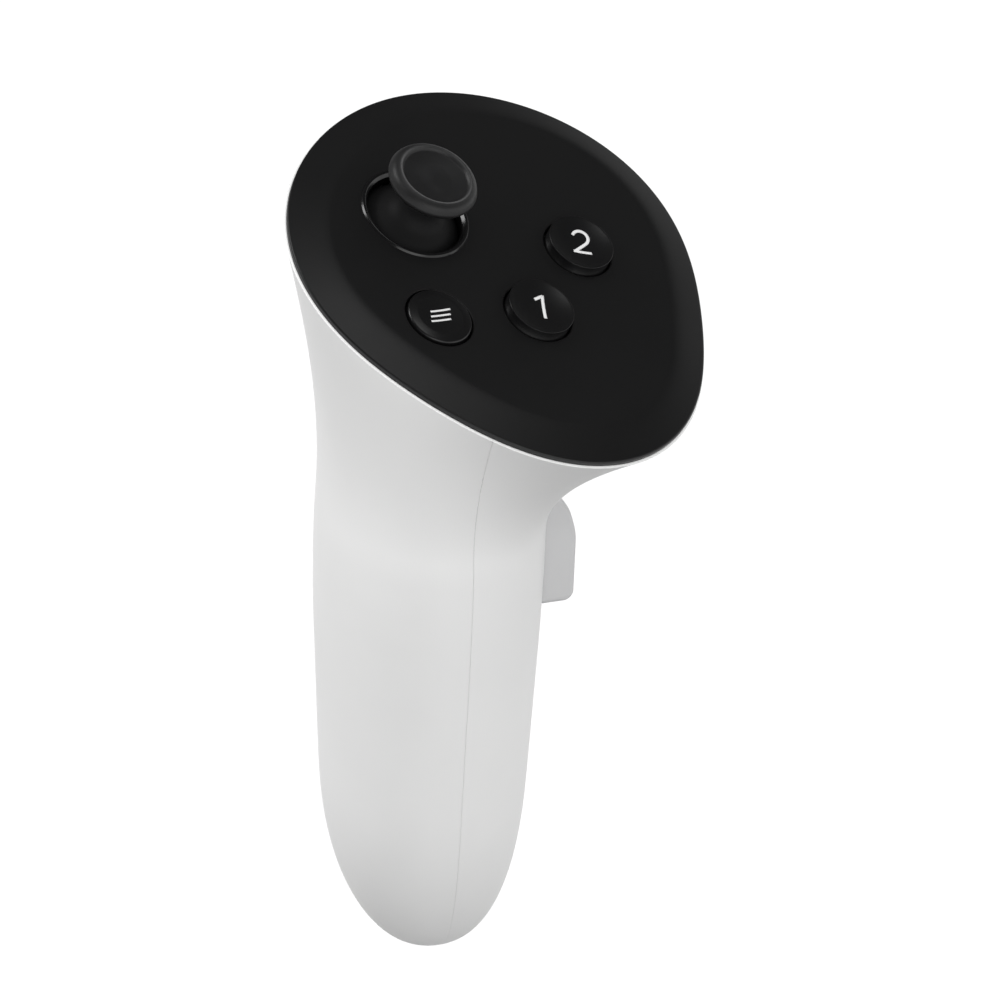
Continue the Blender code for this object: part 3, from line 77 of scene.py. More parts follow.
# %% A value that can be added and multiplied
class Value:
    """One output socket; a sum written on it adds the Math node for it."""

    def __init__(self, finish, socket):
        self.finish = finish
        self.socket = socket

    def maths(self, operation, first, second):
        return self.finish.node("Math", {"operation": operation}, {0: first, 1: second})

    def __add__(self, other):
        return self.maths("ADD", self, other)

    def __radd__(self, other):
        return self.maths("ADD", other, self)

    def __sub__(self, other):
        return self.maths("SUBTRACT", self, other)

    def __rsub__(self, other):
        return self.maths("SUBTRACT", other, self)

    def __mul__(self, other):
        return self.maths("MULTIPLY", self, other)

    def __rmul__(self, other):
        return self.maths("MULTIPLY", other, self)


# %% A finish under construction
class Finish:
    """A material, its shader, and the one method that adds nodes to it."""

    def __init__(self, name, **constants):
        self.material = bpy.data.materials.new(name)
        self.material.use_nodes = True
        self.tree = self.material.node_tree
        self.shader = self.tree.nodes["Principled BSDF"]
        self.place = self.node("TexCoord", {}, {}, "Object")
        for socket, value in constants.items():
            self.put(self.shader.inputs[socket.replace("_", " ").title().replace("Ior", "IOR")], value)

    def put(self, socket, value):
        if isinstance(value, Value):
            self.tree.links.new(value.socket, socket)
        else:
            socket.default_value = value

    def node(self, kind, settings, sockets, out=0):
        made = self.tree.nodes.new("ShaderNode" + kind)
        for name, value in settings.items():
            setattr(made, name, value)
        for name, value in sockets.items():
            self.put(made.inputs[name], value)
        return Value(self, made.outputs[out])

    def noise(self, size, detail=2.0):
        """Soft random values from 0 to 1 with grains of about this size, in metres."""
        return self.node("TexNoise", {}, {"Vector": self.place, "Scale": 1 / size, "Detail": detail})

    def step(self, value, low, high):
        """0 below low, 1 above high, and a smooth rise between them."""
        ends = {"Value": value, "From Min": low, "From Max": high}
        return self.node("MapRange", {"interpolation_type": "SMOOTHSTEP"}, ends)

    def blend(self, share, first, second):
        """The first colour where share is 0, the second where it is 1."""
        first, second = (c if isinstance(c, Value) else (*c, 1) for c in (first, second))
        return self.node("Mix", {"data_type": "RGBA"}, {0: share, 6: first, 7: second}, 2)

    def paint(self, **surfaces):
        for socket, value in surfaces.items():
            self.put(self.shader.inputs[socket.replace("_", " ").title()], value)
        return self.material

    def bump(self, height, depth):
        """Normals that follow a height from 0 to 1 over this depth, in metres."""
        return self.node("Bump", {}, {"Height": height, "Distance": depth, "Strength": 1.0})


# %% [markdown]
# ## The finishes
# The handle is moulded plastic with a fine spark-eroded grain, so it looks soft rather than shiny.
# The faceplate and the buttons are the same kind of plastic in black, the buttons a little smoother.
# Each finish gets a grain in its bump and its roughness, and a slow change of colour over it, because
# a real moulding is never one flat colour. All patterns sit in Object coordinates, in metres.


# %% Moulded plastics
CLOUD_SIZE = 0.013


def moulded(name, light, dark, blue, roughness, grain_size, grain_depth, level):
    """A plastic with a moulded grain: two close greys, and gloss that breaks up with the grain."""
    made = Finish(name, specular_ior_level=level)
    cloud = made.noise(CLOUD_SIZE)
    grain = made.noise(grain_size, 3.0)
    greys = ((grey, grey, grey + blue) for grey in (light, dark))
    colour = made.blend(made.step(cloud, 0.35, 0.65), *greys)
    gloss = roughness - 0.05 + 0.10 * grain + 0.04 * cloud
    return made.paint(base_color=colour, roughness=gloss, normal=made.bump(grain, grain_depth))


# name, light grey, dark grey, added blue, roughness, size and depth of the grain, specular level
PLASTICS = (
    ("white_plastic", 0.80, 0.79, -0.003, 0.46, 0.00030, 0.000012, 0.50),
    ("grey_plastic", 0.62, 0.59, 0.005, 0.44, 0.00030, 0.000012, 0.50),
    ("black_plastic", 0.0038, 0.0032, 0.0002, 0.39, 0.00026, 0.000006, 0.40),
    ("button_plastic", 0.0036, 0.0030, 0.0002, 0.28, 0.00022, 0.000004, 0.45),
    ("dark_nylon", 0.0060, 0.0050, 0.0003, 0.60, 0.00035, 0.000012, 0.20),
    ("polished_black", 0.0050, 0.0042, 0.0002, 0.17, 0.00030, 0.000001, 0.45),
    ("legend_ink", 0.66, 0.60, 0.0, 0.50, 0.00020, 0.000004, 0.50),
)
finishes = {row[0]: moulded(*row) for row in PLASTICS}
print("moulded finishes:", ", ".join(finishes))


# %% Rubber, steel, film, board and battery
def rubber():
    """The thumb pad: soft black rubber, dusty in patches, with a pale highlight painted along its crest."""
    made = Finish("black_rubber", specular_ior_level=0.4)
    grain = made.noise(0.00018, 4.0)
    dust = made.step(made.noise(0.004), 0.45, 0.75)
    # Painted highlight: the crest layer lightens the rubber to a pale grey along the dish's edge.
    crest_highlight = made.node("Attribute", {"attribute_name": "crest_highlight"}, {}, "Fac") * (0.6 + 0.8 * grain)
    colour = made.blend(dust, (0.0075, 0.0075, 0.0078), (0.0100, 0.0100, 0.0104))
    colour = made.blend(crest_highlight, colour, (0.095, 0.095, 0.096))
    gloss = 0.40 + 0.12 * grain + 0.06 * dust - 0.10 * crest_highlight
    return made.paint(base_color=colour, roughness=gloss, normal=made.bump(grain, 0.00001))


def steel():
    """Drawn wire and turned pins: bright metal with fine lines and a little oil haze."""
    made = Finish("bright_steel", metallic=1.0)
    lines = made.noise(0.00008)
    haze = made.noise(0.003)
    colour = made.blend(haze, (0.62, 0.61, 0.59), (0.52, 0.52, 0.52))
    return made.paint(base_color=colour, roughness=0.20 + 0.14 * lines + 0.06 * haze)


def film():
    """The flat cable's amber film, with copper tracks showing through as darker streaks."""
    made = Finish("amber_film")
    cloud = made.noise(0.0012)
    colour = made.blend(made.step(cloud, 0.4, 0.6), (0.48, 0.24, 0.055), (0.36, 0.16, 0.035))
    return made.paint(base_color=colour, roughness=0.30 + 0.12 * cloud)


def board():
    """A circuit board: green lacquer over copper, lighter where the copper lies under it."""
    made = Finish("green_board")
    copper = made.step(made.noise(0.0016, 0.0), 0.52, 0.56)
    colour = made.blend(copper, (0.012, 0.070, 0.028), (0.030, 0.130, 0.050))
    return made.paint(base_color=colour, roughness=0.34 - 0.08 * copper, normal=made.bump(copper, 0.00002))


def battery_wrap():
    """The plain sleeve of an AA cell: a blue band and a pale end, printed on thin film."""
    made = Finish("battery_wrap")
    height = made.node("SeparateXYZ", {}, {0: made.place}, "Z")
    band = made.step(height, 0.0080, 0.0086)
    scuff = made.step(made.noise(0.0009, 4.0), 0.62, 0.70)
    colour = made.blend(band, (0.10, 0.16, 0.22), (0.52, 0.53, 0.55))
    return made.paint(base_color=colour, roughness=0.24 + 0.25 * scuff, metallic=0.5 * band)


finishes["black_rubber"] = rubber()
finishes["bright_steel"] = steel()
finishes["amber_film"] = film()
finishes["green_board"] = board()
finishes["battery_wrap"] = battery_wrap()
print("all finishes:", len(finishes))

# %% [markdown]
# ## Which CAD nodes stay
# Screws, springs, boards and the battery are right as the CAD made them, so they only get finishes.
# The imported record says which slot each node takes, and the slots have the finishes' names.

# %% Paint every CAD node
slot_of = {row["node"]: row["material_slot"] for row in frame["record"]["subparts"]}
for name, node in frame["nodes"].items():
    node.data.materials.clear()
    node.data.materials.append(finishes[slot_of[name]])
print("painted", len(frame["nodes"]), "CAD nodes")

# %% [markdown]
# ## One way to add a piece
# Every new piece is a mesh at the origin with its place in its vertices. It rides on a body, so that
# it moves with its joint, and says which CAD nodes it stands for. Some mesh operators hand their results
# back in a different order on each run, so the points, edges and faces are sorted by place first.


# %% Add a piece
def put_in_order(bm):
    """Sort the points by place, and the edges and faces by the numbers of their points."""
    def by_points(part):
        return sorted(vert.index for vert in part.verts)

    for parts, key in ((bm.verts, lambda vert: vert.co[:]), (bm.edges, by_points), (bm.faces, by_points)):
        rank = {part: i for i, part in enumerate(sorted(parts, key=key))}
        parts.sort(key=rank.get)
        parts.index_update()


def add_piece(name, bm, body, slot, *stands_for, finish=None):
    put_in_order(bm)
    mesh = bpy.data.meshes.new(name)
    bm.to_mesh(mesh)
    bm.free()
    mesh.shade_smooth()
    mesh.materials.append(finishes[finish or slot])
    made = bpy.data.objects.new(name, mesh)
    bpy.context.scene.collection.objects.link(made)
    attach(made, body)
    if stands_for:
        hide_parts(*stands_for)
    print(f"{name}: {len(mesh.polygons)} faces on {body}")
    return made


# %% [markdown]
# ## The head's frame and its rim
# The faceplate lies in a plane that leans back and to the right. Every place on it is written as
# (u, v) in that plane with a height above it, and one matrix carries those to the handle's frame.
# The rim isn't a circle: it is a circle with a little oval, a little triangle and a little square in it.

# %% The face and its rim
FACE_CENTRE = Vector((0.01260, 0.00457, 0.0582))
FACE_LEAN = Euler((math.radians(28.3), math.radians(12.0), 0))
FACE = Matrix.Translation(FACE_CENTRE) @ FACE_LEAN.to_matrix().to_4x4()
RIM_RADIUS = 0.0343
LIP = 0.0003
RIM_WAVES = ((2, 0.0012, -83.0), (3, 0.0014, 52.8), (4, 0.00045, 21.4))


def rim_radius(angle):
    waves = (size * math.cos(times * (angle - math.radians(turn))) for times, size, turn in RIM_WAVES)
    return RIM_RADIUS + sum(waves)


def rim_point(azimuth):
    """Where the rim crosses the upright half-plane at this azimuth about the handle."""
    low, high = azimuth - 1.3, azimuth + 1.3
    for _ in range(40):
        angle = (low + high) / 2
        radius = rim_radius(angle) + LIP
        point = FACE @ Vector((radius * math.cos(angle), radius * math.sin(angle), 0))
        ahead = math.remainder(math.atan2(point.y, point.x) - azimuth, math.tau)
        if ahead < 0:
            low = angle
        else:
            high = angle
    return point


print("rim, mm: left", round(1000 * rim_point(math.pi).x, 1), "right", round(1000 * rim_point(0).x, 1))

# %% [markdown]
# ## The white body
# The body is one smooth form: a round tip, a tapering oval handle, a waist, and a flare up to the rim.
# It could be sculpted, or lofted through sketched sections. Here a single line of points is spun about
# the handle's axis, and each vertex is then moved to where a formula for the side curve puts it. The
# formula is the CAD model's own, so the dressed body keeps its shape, only much finer.

# %% The side curve
TIP, END_LENGTH, END_POWER, END_SHIFT = -0.0502, 0.0320, 2.4, 0.0015
NECK = (0.0250, 0.0176, 0.0198)
FOOT = (-0.0200, 0.0156, 0.0169)
FLARE_START, FLARE_WAIST = 0.0180, 0.0026
OVAL_POWER, ROW_POWER = 2.1, 1.7


def end_rise(height):
    return min(1.0, max(0.0, (height - TIP) / END_LENGTH))


def handle_radius(azimuth, height):
    share = (height - FOOT[0]) / (NECK[0] - FOOT[0])
    close = (1 - (1 - end_rise(height)) ** END_POWER) ** (1 / END_POWER)
    width, depth = (close * (foot + share * (neck - foot)) for foot, neck in zip(FOOT[1:], NECK[1:]))
    if width == 0:
        return 0.0
    across, along = abs(math.cos(azimuth) / width), abs(math.sin(azimuth) / depth)
    return (across ** OVAL_POWER + along ** OVAL_POWER) ** (-1 / OVAL_POWER)


def side_curve(azimuth, rim, t):
    """(radius, height): t 0 to 1 runs up the handle, 1 to 2 up the flare."""
    if t <= 1:
        height = TIP + (FLARE_START - TIP) * t ** ROW_POWER
        return Vector((handle_radius(azimuth, height), height))
    front = max(0.0, math.sin(azimuth)) ** 3
    start = Vector((handle_radius(azimuth, FLARE_START), FLARE_START))
    end = Vector((math.hypot(rim.x, rim.y), rim.z))
    reach, rise = end - start
    # The two middle pulls lie at these shares of the reach and the rise; the front (+Y) has its own.
    turn = (0.33 + 8.0 * reach) * rise
    out = (0.36 + 0.30 * front) * reach
    down = (0.25 + 0.15 * front) * rise
    pulls = (start, start + Vector((-FLARE_WAIST, turn)), Vector((start.x + out, end.y - down)), end)
    s = t - 1
    shares = ((1 - s) ** 3, 3 * s * (1 - s) ** 2, 3 * s * s * (1 - s), s ** 3)
    return sum((pull * share for pull, share in zip(pulls, shares)), Vector((0, 0)))


def skin_point(azimuth, rim, t):
    """A point on the body; near the neck it is an average over a short run, so that no crease shows."""
    run = 0.16 * max(0.0, 1 - abs(t - 1) / 0.5)
    here = Vector((0, 0))
    for step, weight in ((-1, 1), (-0.5, 2), (0, 3), (0.5, 2), (1, 1)):
        here += side_curve(azimuth, rim, t + step * run) * (weight / 9)
    shift = END_SHIFT * (1 - end_rise(here.y)) ** 2
    return Vector((here.x * math.cos(azimuth) + shift, here.x * math.sin(azimuth), here.y))


# %% Spin a skin and move it onto the curve
TO_FACE = FACE.inverted()
LIP_WIDTH, LIP_RISE = 0.00048, 0.00018
HANDLE_ROWS = [i / 46 for i in range(47)] + [1 + i / 40 for i in range(1, 41)]
LIP_ROWS = [2 + math.radians(15 * i) for i in range(1, 8)]


def lip_point(rim, turn):
    """The rim's edge rolled over towards the faceplate, by this angle."""
    local = TO_FACE @ rim
    local -= local.normalized() * LIP_WIDTH * (1 - math.cos(turn))
    local.z += LIP_RISE * math.sin(turn)
    return FACE @ local


def skin_patch(azimuths, rows):
    """Spin a line of points, one step for each azimuth in degrees, then put each point on the body."""
    bm = bmesh.new()
    line = [bm.verts.new((1, 0, row)) for row in rows]
    edges = [bm.edges.new(pair) for pair in zip(line, line[1:])]
    steps = len(azimuths) - 1
    bmesh.ops.spin(bm, geom=line + edges, axis=(0, 0, 1), cent=(0, 0, 0), angle=math.pi, steps=steps)
    rims = [rim_point(math.radians(azimuth)) for azimuth in azimuths]
    for vert in bm.verts:
        step = round(abs(math.atan2(vert.co.y, vert.co.x)) / math.pi * steps)
        row = vert.co.z
        if row > 2:
            vert.co = lip_point(rims[step], row - 2)
        else:
            vert.co = skin_point(math.radians(azimuths[step]), rims[step], row)
    bmesh.ops.remove_doubles(bm, verts=bm.verts, dist=1e-6)
    bmesh.ops.recalc_face_normals(bm, faces=bm.faces)
    put_in_order(bm)
    outward = sum(f.calc_area() * f.normal.xy.dot(f.calc_center_median().xy) for f in bm.faces)
    if outward < 0:
        bmesh.ops.reverse_faces(bm, faces=bm.faces)
    return bm


# %% [markdown]
# ## Cutting the body apart
# A moulding tool splits the body down a seam into a left and a right half, so each half is spun on its
# own. The battery door, the trigger, the grip lever and the wrist cord each need a window. A Boolean would
# do it, but a plane cut through the skin leaves cleaner quads: the skin is bisected along the window's
# sides, the inside is deleted, and points too close to the new edge are welded to it.


# %% Cut helpers
WELD_REACH, CUT_REACH = 0.00030, 0.003


def inside(point, place, low, high, slack=0.0):
    local = place @ point
    return all(l - slack < x < h + slack for x, l, h in zip(local, low, high))


def cut_along(bm, place, low, high):
    """Bisect the skin near a box along the box's six sides; place carries the body's frame to the box's."""
    back = place.inverted()
    for axis in range(3):
        for level in (low[axis], high[axis]):
            faces = [f for f in bm.faces if any(inside(v.co, place, low, high, CUT_REACH) for v in f.verts)]
            edges = dict.fromkeys(e for f in faces for e in f.edges)
            verts = dict.fromkeys(v for f in faces for v in f.verts)
            on_plane, across = Vector((0, 0, 0)), Vector((0, 0, 0))
            on_plane[axis], across[axis] = level, 1
            bmesh.ops.bisect_plane(
                bm, geom=faces + list(edges) + list(verts), dist=1e-7,
                plane_co=back @ on_plane, plane_no=back.to_3x3() @ across,
            )


def weld_to_edge(bm, is_edge):
    """Merge the points that crowd a new edge, and pull their neighbours onto it."""
    put_in_order(bm)
    rim = [v for v in bm.verts if v.is_boundary and is_edge(v.co)]
    bmesh.ops.remove_doubles(bm, verts=rim, dist=WELD_REACH)
    put_in_order(bm)
    rim = [v for v in bm.verts if v.is_boundary and is_edge(v.co)]
    tree = KDTree(len(rim))
    for i, vert in enumerate(rim):
        tree.insert(vert.co, i)
    tree.balance()
    pairs = {}
    for vert in bm.verts:
        if not vert.is_boundary:
            _, i, distance = tree.find(vert.co)
            if distance < WELD_REACH:
                pairs[vert] = rim[i]
    bmesh.ops.weld_verts(bm, targetmap=pairs)
    bmesh.ops.dissolve_degenerate(bm, edges=bm.edges, dist=1e-6)
    weight = bm.edges.layers.float.new("bevel_weight_edge")
    for edge in bm.edges:
        if edge.is_boundary:
            rounded_edge = all(is_edge(v.co) for v in edge.verts)
            edge[weight] = 1.0 if rounded_edge else 0.0
            edge.smooth = rounded_edge


def drop(bm, unwanted):
    bmesh.ops.delete(bm, geom=[f for f in bm.faces if unwanted(f.calc_center_median())], context="FACES")


# %% Windows and the seam
HANDLE = Matrix.Identity(4)
FAR = 0.06
WINDOWS = (
    ("door", HANDLE, (-0.0083, 0.0065, -0.0338), (0.0083, FAR, 0.0188)),
    ("trigger", TO_FACE, (-0.0131, 0.0106, -0.0420), (0.0006, 0.0270, -0.0030)),
    ("wrist cord", HANDLE, (-0.0031, 0.0049, -0.0439), (0.0031, FAR, -0.0387)),
    ("grip lever", HANDLE, (0.0120, -0.0069, 0.0069), (FAR, 0.0069, 0.0294)),
)
AROUND = 84
SEAM_SPLIT, SEAM_EDGE, SEAM_DEPTH = 0.03, 0.42, 0.00008
SEAM_START, SEAM_FADE = 0.003, 0.015


def on_window(point):
    return any(inside(point, place, low, high, 0.00002) for _, place, low, high in WINDOWS)


def shell_half(start):
    """Half a turn of skin from this azimuth, with a fine groove sunk along its seam, and its windows."""
    turns = [SEAM_SPLIT, SEAM_EDGE] + [180 * i / AROUND for i in range(1, AROUND)]
    turns += [180 - SEAM_EDGE, 180 - SEAM_SPLIT]
    bm = skin_patch([start + turn for turn in turns], HANDLE_ROWS + LIP_ROWS)
    for vert in bm.verts:
        if vert.is_boundary and (TO_FACE @ vert.co).z < 0.00001:
            share = min(1.0, max(0.0, (vert.co.z - TIP - SEAM_START) / SEAM_FADE))
            vert.co -= vert.normal * SEAM_DEPTH * share
    for _, place, low, high in WINDOWS:
        cut_along(bm, place, low, high)
        drop(bm, lambda point: inside(point, place, low, high))
    weld_to_edge(bm, on_window)
    return bm


# %% [markdown]
# ## Walls for the skins
# The skins have no thickness yet. Solidify gives the wall, growing inwards. At the rim the wall has to
# thin out, because the lip rolls over there and the faceplate sits on it, so a vertex group holds it
# back over the last three millimetres. A small bevel then rounds the windows' edges, which carry a weight.


# %% Give a skin its wall
WALL, WALL_EDGE, WALL_START, WALL_FADE = 0.0018, 0.00016, 0.0002, 0.0030


def add_wall(piece):
    group = piece.vertex_groups.new(name="wall")
    for vert in piece.data.vertices:
        below = -(TO_FACE @ vert.co).z
        share = min(1.0, max(0.0, (below - WALL_START) / WALL_FADE))
        group.add([vert.index], share, "REPLACE")
    wall = piece.modifiers.new("wall", "SOLIDIFY")
    wall.thickness = WALL
    wall.offset = -1
    wall.vertex_group = "wall"
    wall.thickness_vertex_group = 0.04
    rounding = piece.modifiers.new("edge", "BEVEL")
    rounding.width = WALL_EDGE
    rounding.segments = 2
    rounding.limit_method = "WEIGHT"
    piece.modifiers.new("normals", "WEIGHTED_NORMAL").keep_sharp = True


for name, start in (("left_shell", 90), ("right_shell", -90)):
    add_wall(add_piece(f"{name}_skin", shell_half(start), "housing", "white_plastic", name))

# %% [markdown]
# ## The battery door
# The door is cut from the same skin, so it follows the handle exactly, and it is a little smaller than
# its window all round.

# %% The door
DOOR_LOW, DOOR_HIGH = (-0.0080, 0.0065, -0.0335), (0.0080, FAR, 0.0185)
door = skin_patch([50 + 80 * i / 40 for i in range(41)], HANDLE_ROWS)
cut_along(door, HANDLE, DOOR_LOW, DOOR_HIGH)
drop(door, lambda point: not inside(point, HANDLE, DOOR_LOW, DOOR_HIGH))
weld_to_edge(door, lambda point: True)
add_wall(add_piece("battery_door_skin", door, "door", "white_plastic", "battery_door"))

# %% [markdown]
# ## Turned pieces
# The buttons, the stick and the holes for them are round, so each is a profile line spun about its axis.
# A profile is a list of (radius, height) corners, some with a rounding radius, and a helper puts a
# short arc of points at each rounded corner.


# %% Profiles and turning
def rounded(corners, closed=False, steps=6):
    """The corners (x, y, radius) as points, with an arc of steps at each rounded one."""
    points = []
    count = len(corners)
    for i, (x, y, radius) in enumerate(corners):
        here = Vector((x, y))
        if radius == 0 or (not closed and i in (0, count - 1)):
            points.append(here)
            continue
        before = Vector(corners[i - 1][:2]) - here
        after = Vector(corners[(i + 1) % count][:2]) - here
        half = before.angle(after) / 2
        back = min(radius / math.tan(half), 0.49 * before.length, 0.49 * after.length)
        start, end = here + before.normalized() * back, here + after.normalized() * back
        centre = here + (before.normalized() + after.normalized()).normalized() * (back / math.cos(half))
        arm, sweep = start - centre, (start - centre).angle_signed(end - centre)
        for k in range(steps + 1):
            points.append(centre + Matrix.Rotation(-sweep * k / steps, 2) @ arm)
    return points


def turned(profile, place, steps=112):
    """Spin (radius, height) points about the Z axis of place."""
    bm = bmesh.new()
    line = [bm.verts.new((max(0, p[0]), 0, p[1])) for p in profile]
    edges = [bm.edges.new(pair) for pair in zip(line, line[1:])]
    bmesh.ops.spin(
        bm, geom=line + edges, axis=(0, 0, 1), cent=(0, 0, 0), angle=math.tau, steps=steps, use_merge=True,
    )
    bmesh.ops.remove_doubles(bm, verts=bm.verts, dist=1e-7)
    put_in_order(bm)
    bmesh.ops.recalc_face_normals(bm, faces=bm.faces)
    bmesh.ops.transform(bm, matrix=place, verts=bm.verts)
    return bm


# %% [markdown]
# ## The faceplate
# The plate is flat in the middle and rolls down in a wide soft band to its rim. Its outline is the rim's,
# so the band is spun as a circle and then pushed out to the rim's real radius. The holes are cut with
# turned plugs, which flare at the top to leave rounded mouths.

# %% The plate's blank
PLATE_TOP, PLATE_EDGE, PLATE_UNDER, GAP = 0.0026, 0.0007, 0.0008, 0.0003
BAND, BAND_SOFT, EDGE_ROUND, PLATE_LEDGE = 0.0058, 0.22, 0.0004, 0.0050


def plate_blank():
    """(inset from the rim, height) points spun, then moved out to the rim."""
    drop_to_edge = PLATE_TOP - PLATE_EDGE - EDGE_ROUND
    profile = []
    for i in range(25):
        share = i / 24
        fall = (math.hypot(share, BAND_SOFT) - BAND_SOFT) / (math.hypot(1, BAND_SOFT) - BAND_SOFT)
        profile.append((BAND * (1 - share) + EDGE_ROUND, PLATE_TOP - drop_to_edge * fall))
    for i in range(1, 9):
        turn = math.radians(18 + 9 * i)
        profile.append((EDGE_ROUND * (1 - math.sin(turn)), PLATE_EDGE + EDGE_ROUND * math.cos(turn) / 1.05))
    profile += [(0.00002, LIP_RISE + 0.00006)]
    profile += [(PLATE_LEDGE, LIP_RISE + 0.00004), (PLATE_LEDGE, PLATE_UNDER)]
    bm = turned([(1 - inset, height) for inset, height in profile], Matrix.Identity(4), 192)
    for vert in bm.verts:
        angle = math.atan2(vert.co.y, vert.co.x)
        radius = rim_radius(angle) - (1 - vert.co.xy.length)
        vert.co = (radius * math.cos(angle), radius * math.sin(angle), vert.co.z)
    bmesh.ops.holes_fill(bm, edges=[e for e in bm.edges if e.is_boundary])
    bmesh.ops.recalc_face_normals(bm, faces=bm.faces)
    bmesh.ops.transform(bm, matrix=FACE, verts=bm.verts)
    return bm


# %% The plate's holes
STICK, UPPER = (-0.0137, 0.0077), (0.0120, 0.0037)
LOWER, MENU = (0.0022, -0.0098), (-0.0143, -0.0124)
BUTTON_RADIUS, BUTTON_RIM, MENU_RADIUS = 0.005145, 0.0050, 0.0050
WELL_RADIUS, RING_OUT, RING_LAP = 0.0075, 0.0086, 0.0005
CLEAR, MOUTH, WELL_MOUTH = 0.02, 0.0002, 0.00005


def on_face(spot, height=0.0):
    return FACE @ Matrix.Translation((*spot, height))


def hole_cutter(radius, mouth):
    """A turned plug as wide as the hole, flaring at the plate's top to leave a rounded mouth."""
    flare = [
        (radius + mouth * (1 - math.cos(a)), PLATE_TOP - mouth * (1 - math.sin(a)))
        for a in (math.radians(9 * i) for i in range(10))
    ]
    return [(0, -CLEAR), (radius, -CLEAR)] + flare + [(flare[-1][0], CLEAR), (0, CLEAR)]


def cut_holes(piece, holes):
    """Take each plug out of the piece, and keep only the result."""
    for spot, radius, mouth in holes:
        mesh = bpy.data.meshes.new("plug")
        plug_bm = turned(hole_cutter(radius, mouth), on_face(spot))
        plug_bm.to_mesh(mesh)
        plug_bm.free()
        plug = bpy.data.objects.new("plug", mesh)
        bpy.context.scene.collection.objects.link(plug)
        hole = piece.modifiers.new("hole", "BOOLEAN")
        hole.operation, hole.solver, hole.object = "DIFFERENCE", "EXACT", plug
        result = bpy.data.meshes.new_from_object(piece.evaluated_get(bpy.context.evaluated_depsgraph_get()))
        piece.modifiers.clear()
        old, piece.data = piece.data, result
        bpy.data.objects.remove(plug)
        bpy.data.meshes.remove(mesh)
        bpy.data.meshes.remove(old)
    piece.data.name = piece.name


plate = add_piece("faceplate_cover", plate_blank(), "housing", "black_plastic", "faceplate")
cut_holes(plate, (
    (STICK, RING_OUT - RING_LAP, WELL_MOUTH),
    (UPPER, BUTTON_RADIUS + GAP, MOUTH),
    (LOWER, BUTTON_RADIUS + GAP, MOUTH),
    (MENU, MENU_RADIUS + GAP, MOUTH),
))
plate.modifiers.new("normals", "WEIGHTED_NORMAL")
print("faceplate after its holes:", len(plate.data.polygons), "faces")

# %% [markdown]
# ## The collar round the well
# The thumbstick leans towards the well's edge all day long, so the edge is a raised collar, harder and more
# polished than the plate. It is a turned profile: a sloping mouth, a rounded crest and a falling outside,
# whose foot hides the joint. The two slopes catch the lamp behind, and the crest draws a light line.

# %% Turn the collar
COLLAR_RISE, COLLAR_SINK, COLLAR_INSIDE = 0.00038, 0.0001, RING_OUT - 0.0006
crest = Vector((RING_OUT - 0.0003, PLATE_TOP + COLLAR_RISE))
foot = Vector((RING_OUT, PLATE_TOP - 0.00005))
collar = rounded([
    (WELL_RADIUS, PLATE_UNDER, 0), (WELL_RADIUS, PLATE_TOP - 0.00025, 0.0003),
    (WELL_RADIUS + 0.00045, PLATE_TOP + 0.00027, 0.0003), (*crest, 0.0006),
    (*crest.lerp(foot, 0.80), 0), (*crest.lerp(foot, 0.90), 0), (*foot, 0),
    (RING_OUT, PLATE_TOP - COLLAR_SINK, 0), (COLLAR_INSIDE, PLATE_TOP - COLLAR_SINK, 0),
    (COLLAR_INSIDE, PLATE_UNDER, 0), (WELL_RADIUS, PLATE_UNDER, 0),
])
collar = turned(collar, on_face(STICK))
add_piece("well_collar", collar, "housing", "black_plastic", finish="polished_black")

# %% [markdown]
# ## Buttons
# The two raised buttons have a crisp edge and a dished top, so that a thumb finds them blind: the far
# side of the dish faces the light and the near side stays dark. The menu button is lower and flatter.
# Below the plate each one widens into the flange that keeps it in, and its stem ends high enough for a
# full press.

# %% Turn the buttons
FLANGE_TOP = PLATE_UNDER - GAP
FLANGE_UNDER, FLANGE_REACH, SOFT = FLANGE_TOP - 0.0010, 0.0008, 0.0002
STEM_FOOT, STEM_RADIUS = -0.0031, 0.0015
STEM = [(0, STEM_FOOT, 0), (STEM_RADIUS, STEM_FOOT, SOFT), (STEM_RADIUS, FLANGE_UNDER, 0)]
MENU_CREST = 0.70 * MENU_RADIUS
RISE, DISH, MENU_RISE, MENU_DISH = 0.0016, 0.0007, 0.0007, 0.00024


def button_profile(radius, crown):
    flange = radius + FLANGE_REACH
    skirt = [(flange, FLANGE_UNDER, SOFT), (flange, FLANGE_TOP, SOFT), (radius, FLANGE_TOP, 0)]
    return rounded(STEM + skirt + crown)


def button_height(radius):
    """The raised button's top: a round dish inside its rim."""
    return PLATE_TOP + RISE - DISH * (1 - (radius / BUTTON_RIM) ** 2)


def menu_height(radius):
    """The menu button's middle: a shallow round dish inside its crest."""
    return PLATE_TOP + MENU_RISE - MENU_DISH * (1 - (radius / MENU_CREST) ** 2)


raised = [(BUTTON_RADIUS, PLATE_TOP + RISE, SOFT)]
shares = [0.99, 0.95] + [0.90 - 0.08 * i for i in range(11)] + [0]
raised += [(BUTTON_RIM * share, button_height(BUTTON_RIM * share), 0) for share in shares]
for spot, name in ((UPPER, "upper"), (LOWER, "lower")):
    bm = turned(button_profile(BUTTON_RADIUS, raised), on_face(spot))
    add_piece(f"{name}_button_cap", bm, f"{name}_key", "button_plastic", f"{name}_button")

menu_crown = [
    (MENU_RADIUS, PLATE_TOP + MENU_RISE - 0.0003, 0.0004),
    (0.72 * MENU_RADIUS, PLATE_TOP + MENU_RISE, 0.0012),
]
for share in (0.62, 0.5, 0.36, 0.2, 0):
    menu_crown.append((MENU_RADIUS * share, menu_height(MENU_RADIUS * share), 0))
bm = turned(button_profile(MENU_RADIUS, menu_crown), on_face(MENU))
add_piece("menu_button_cap", bm, "menu_key", "button_plastic", "menu_button")

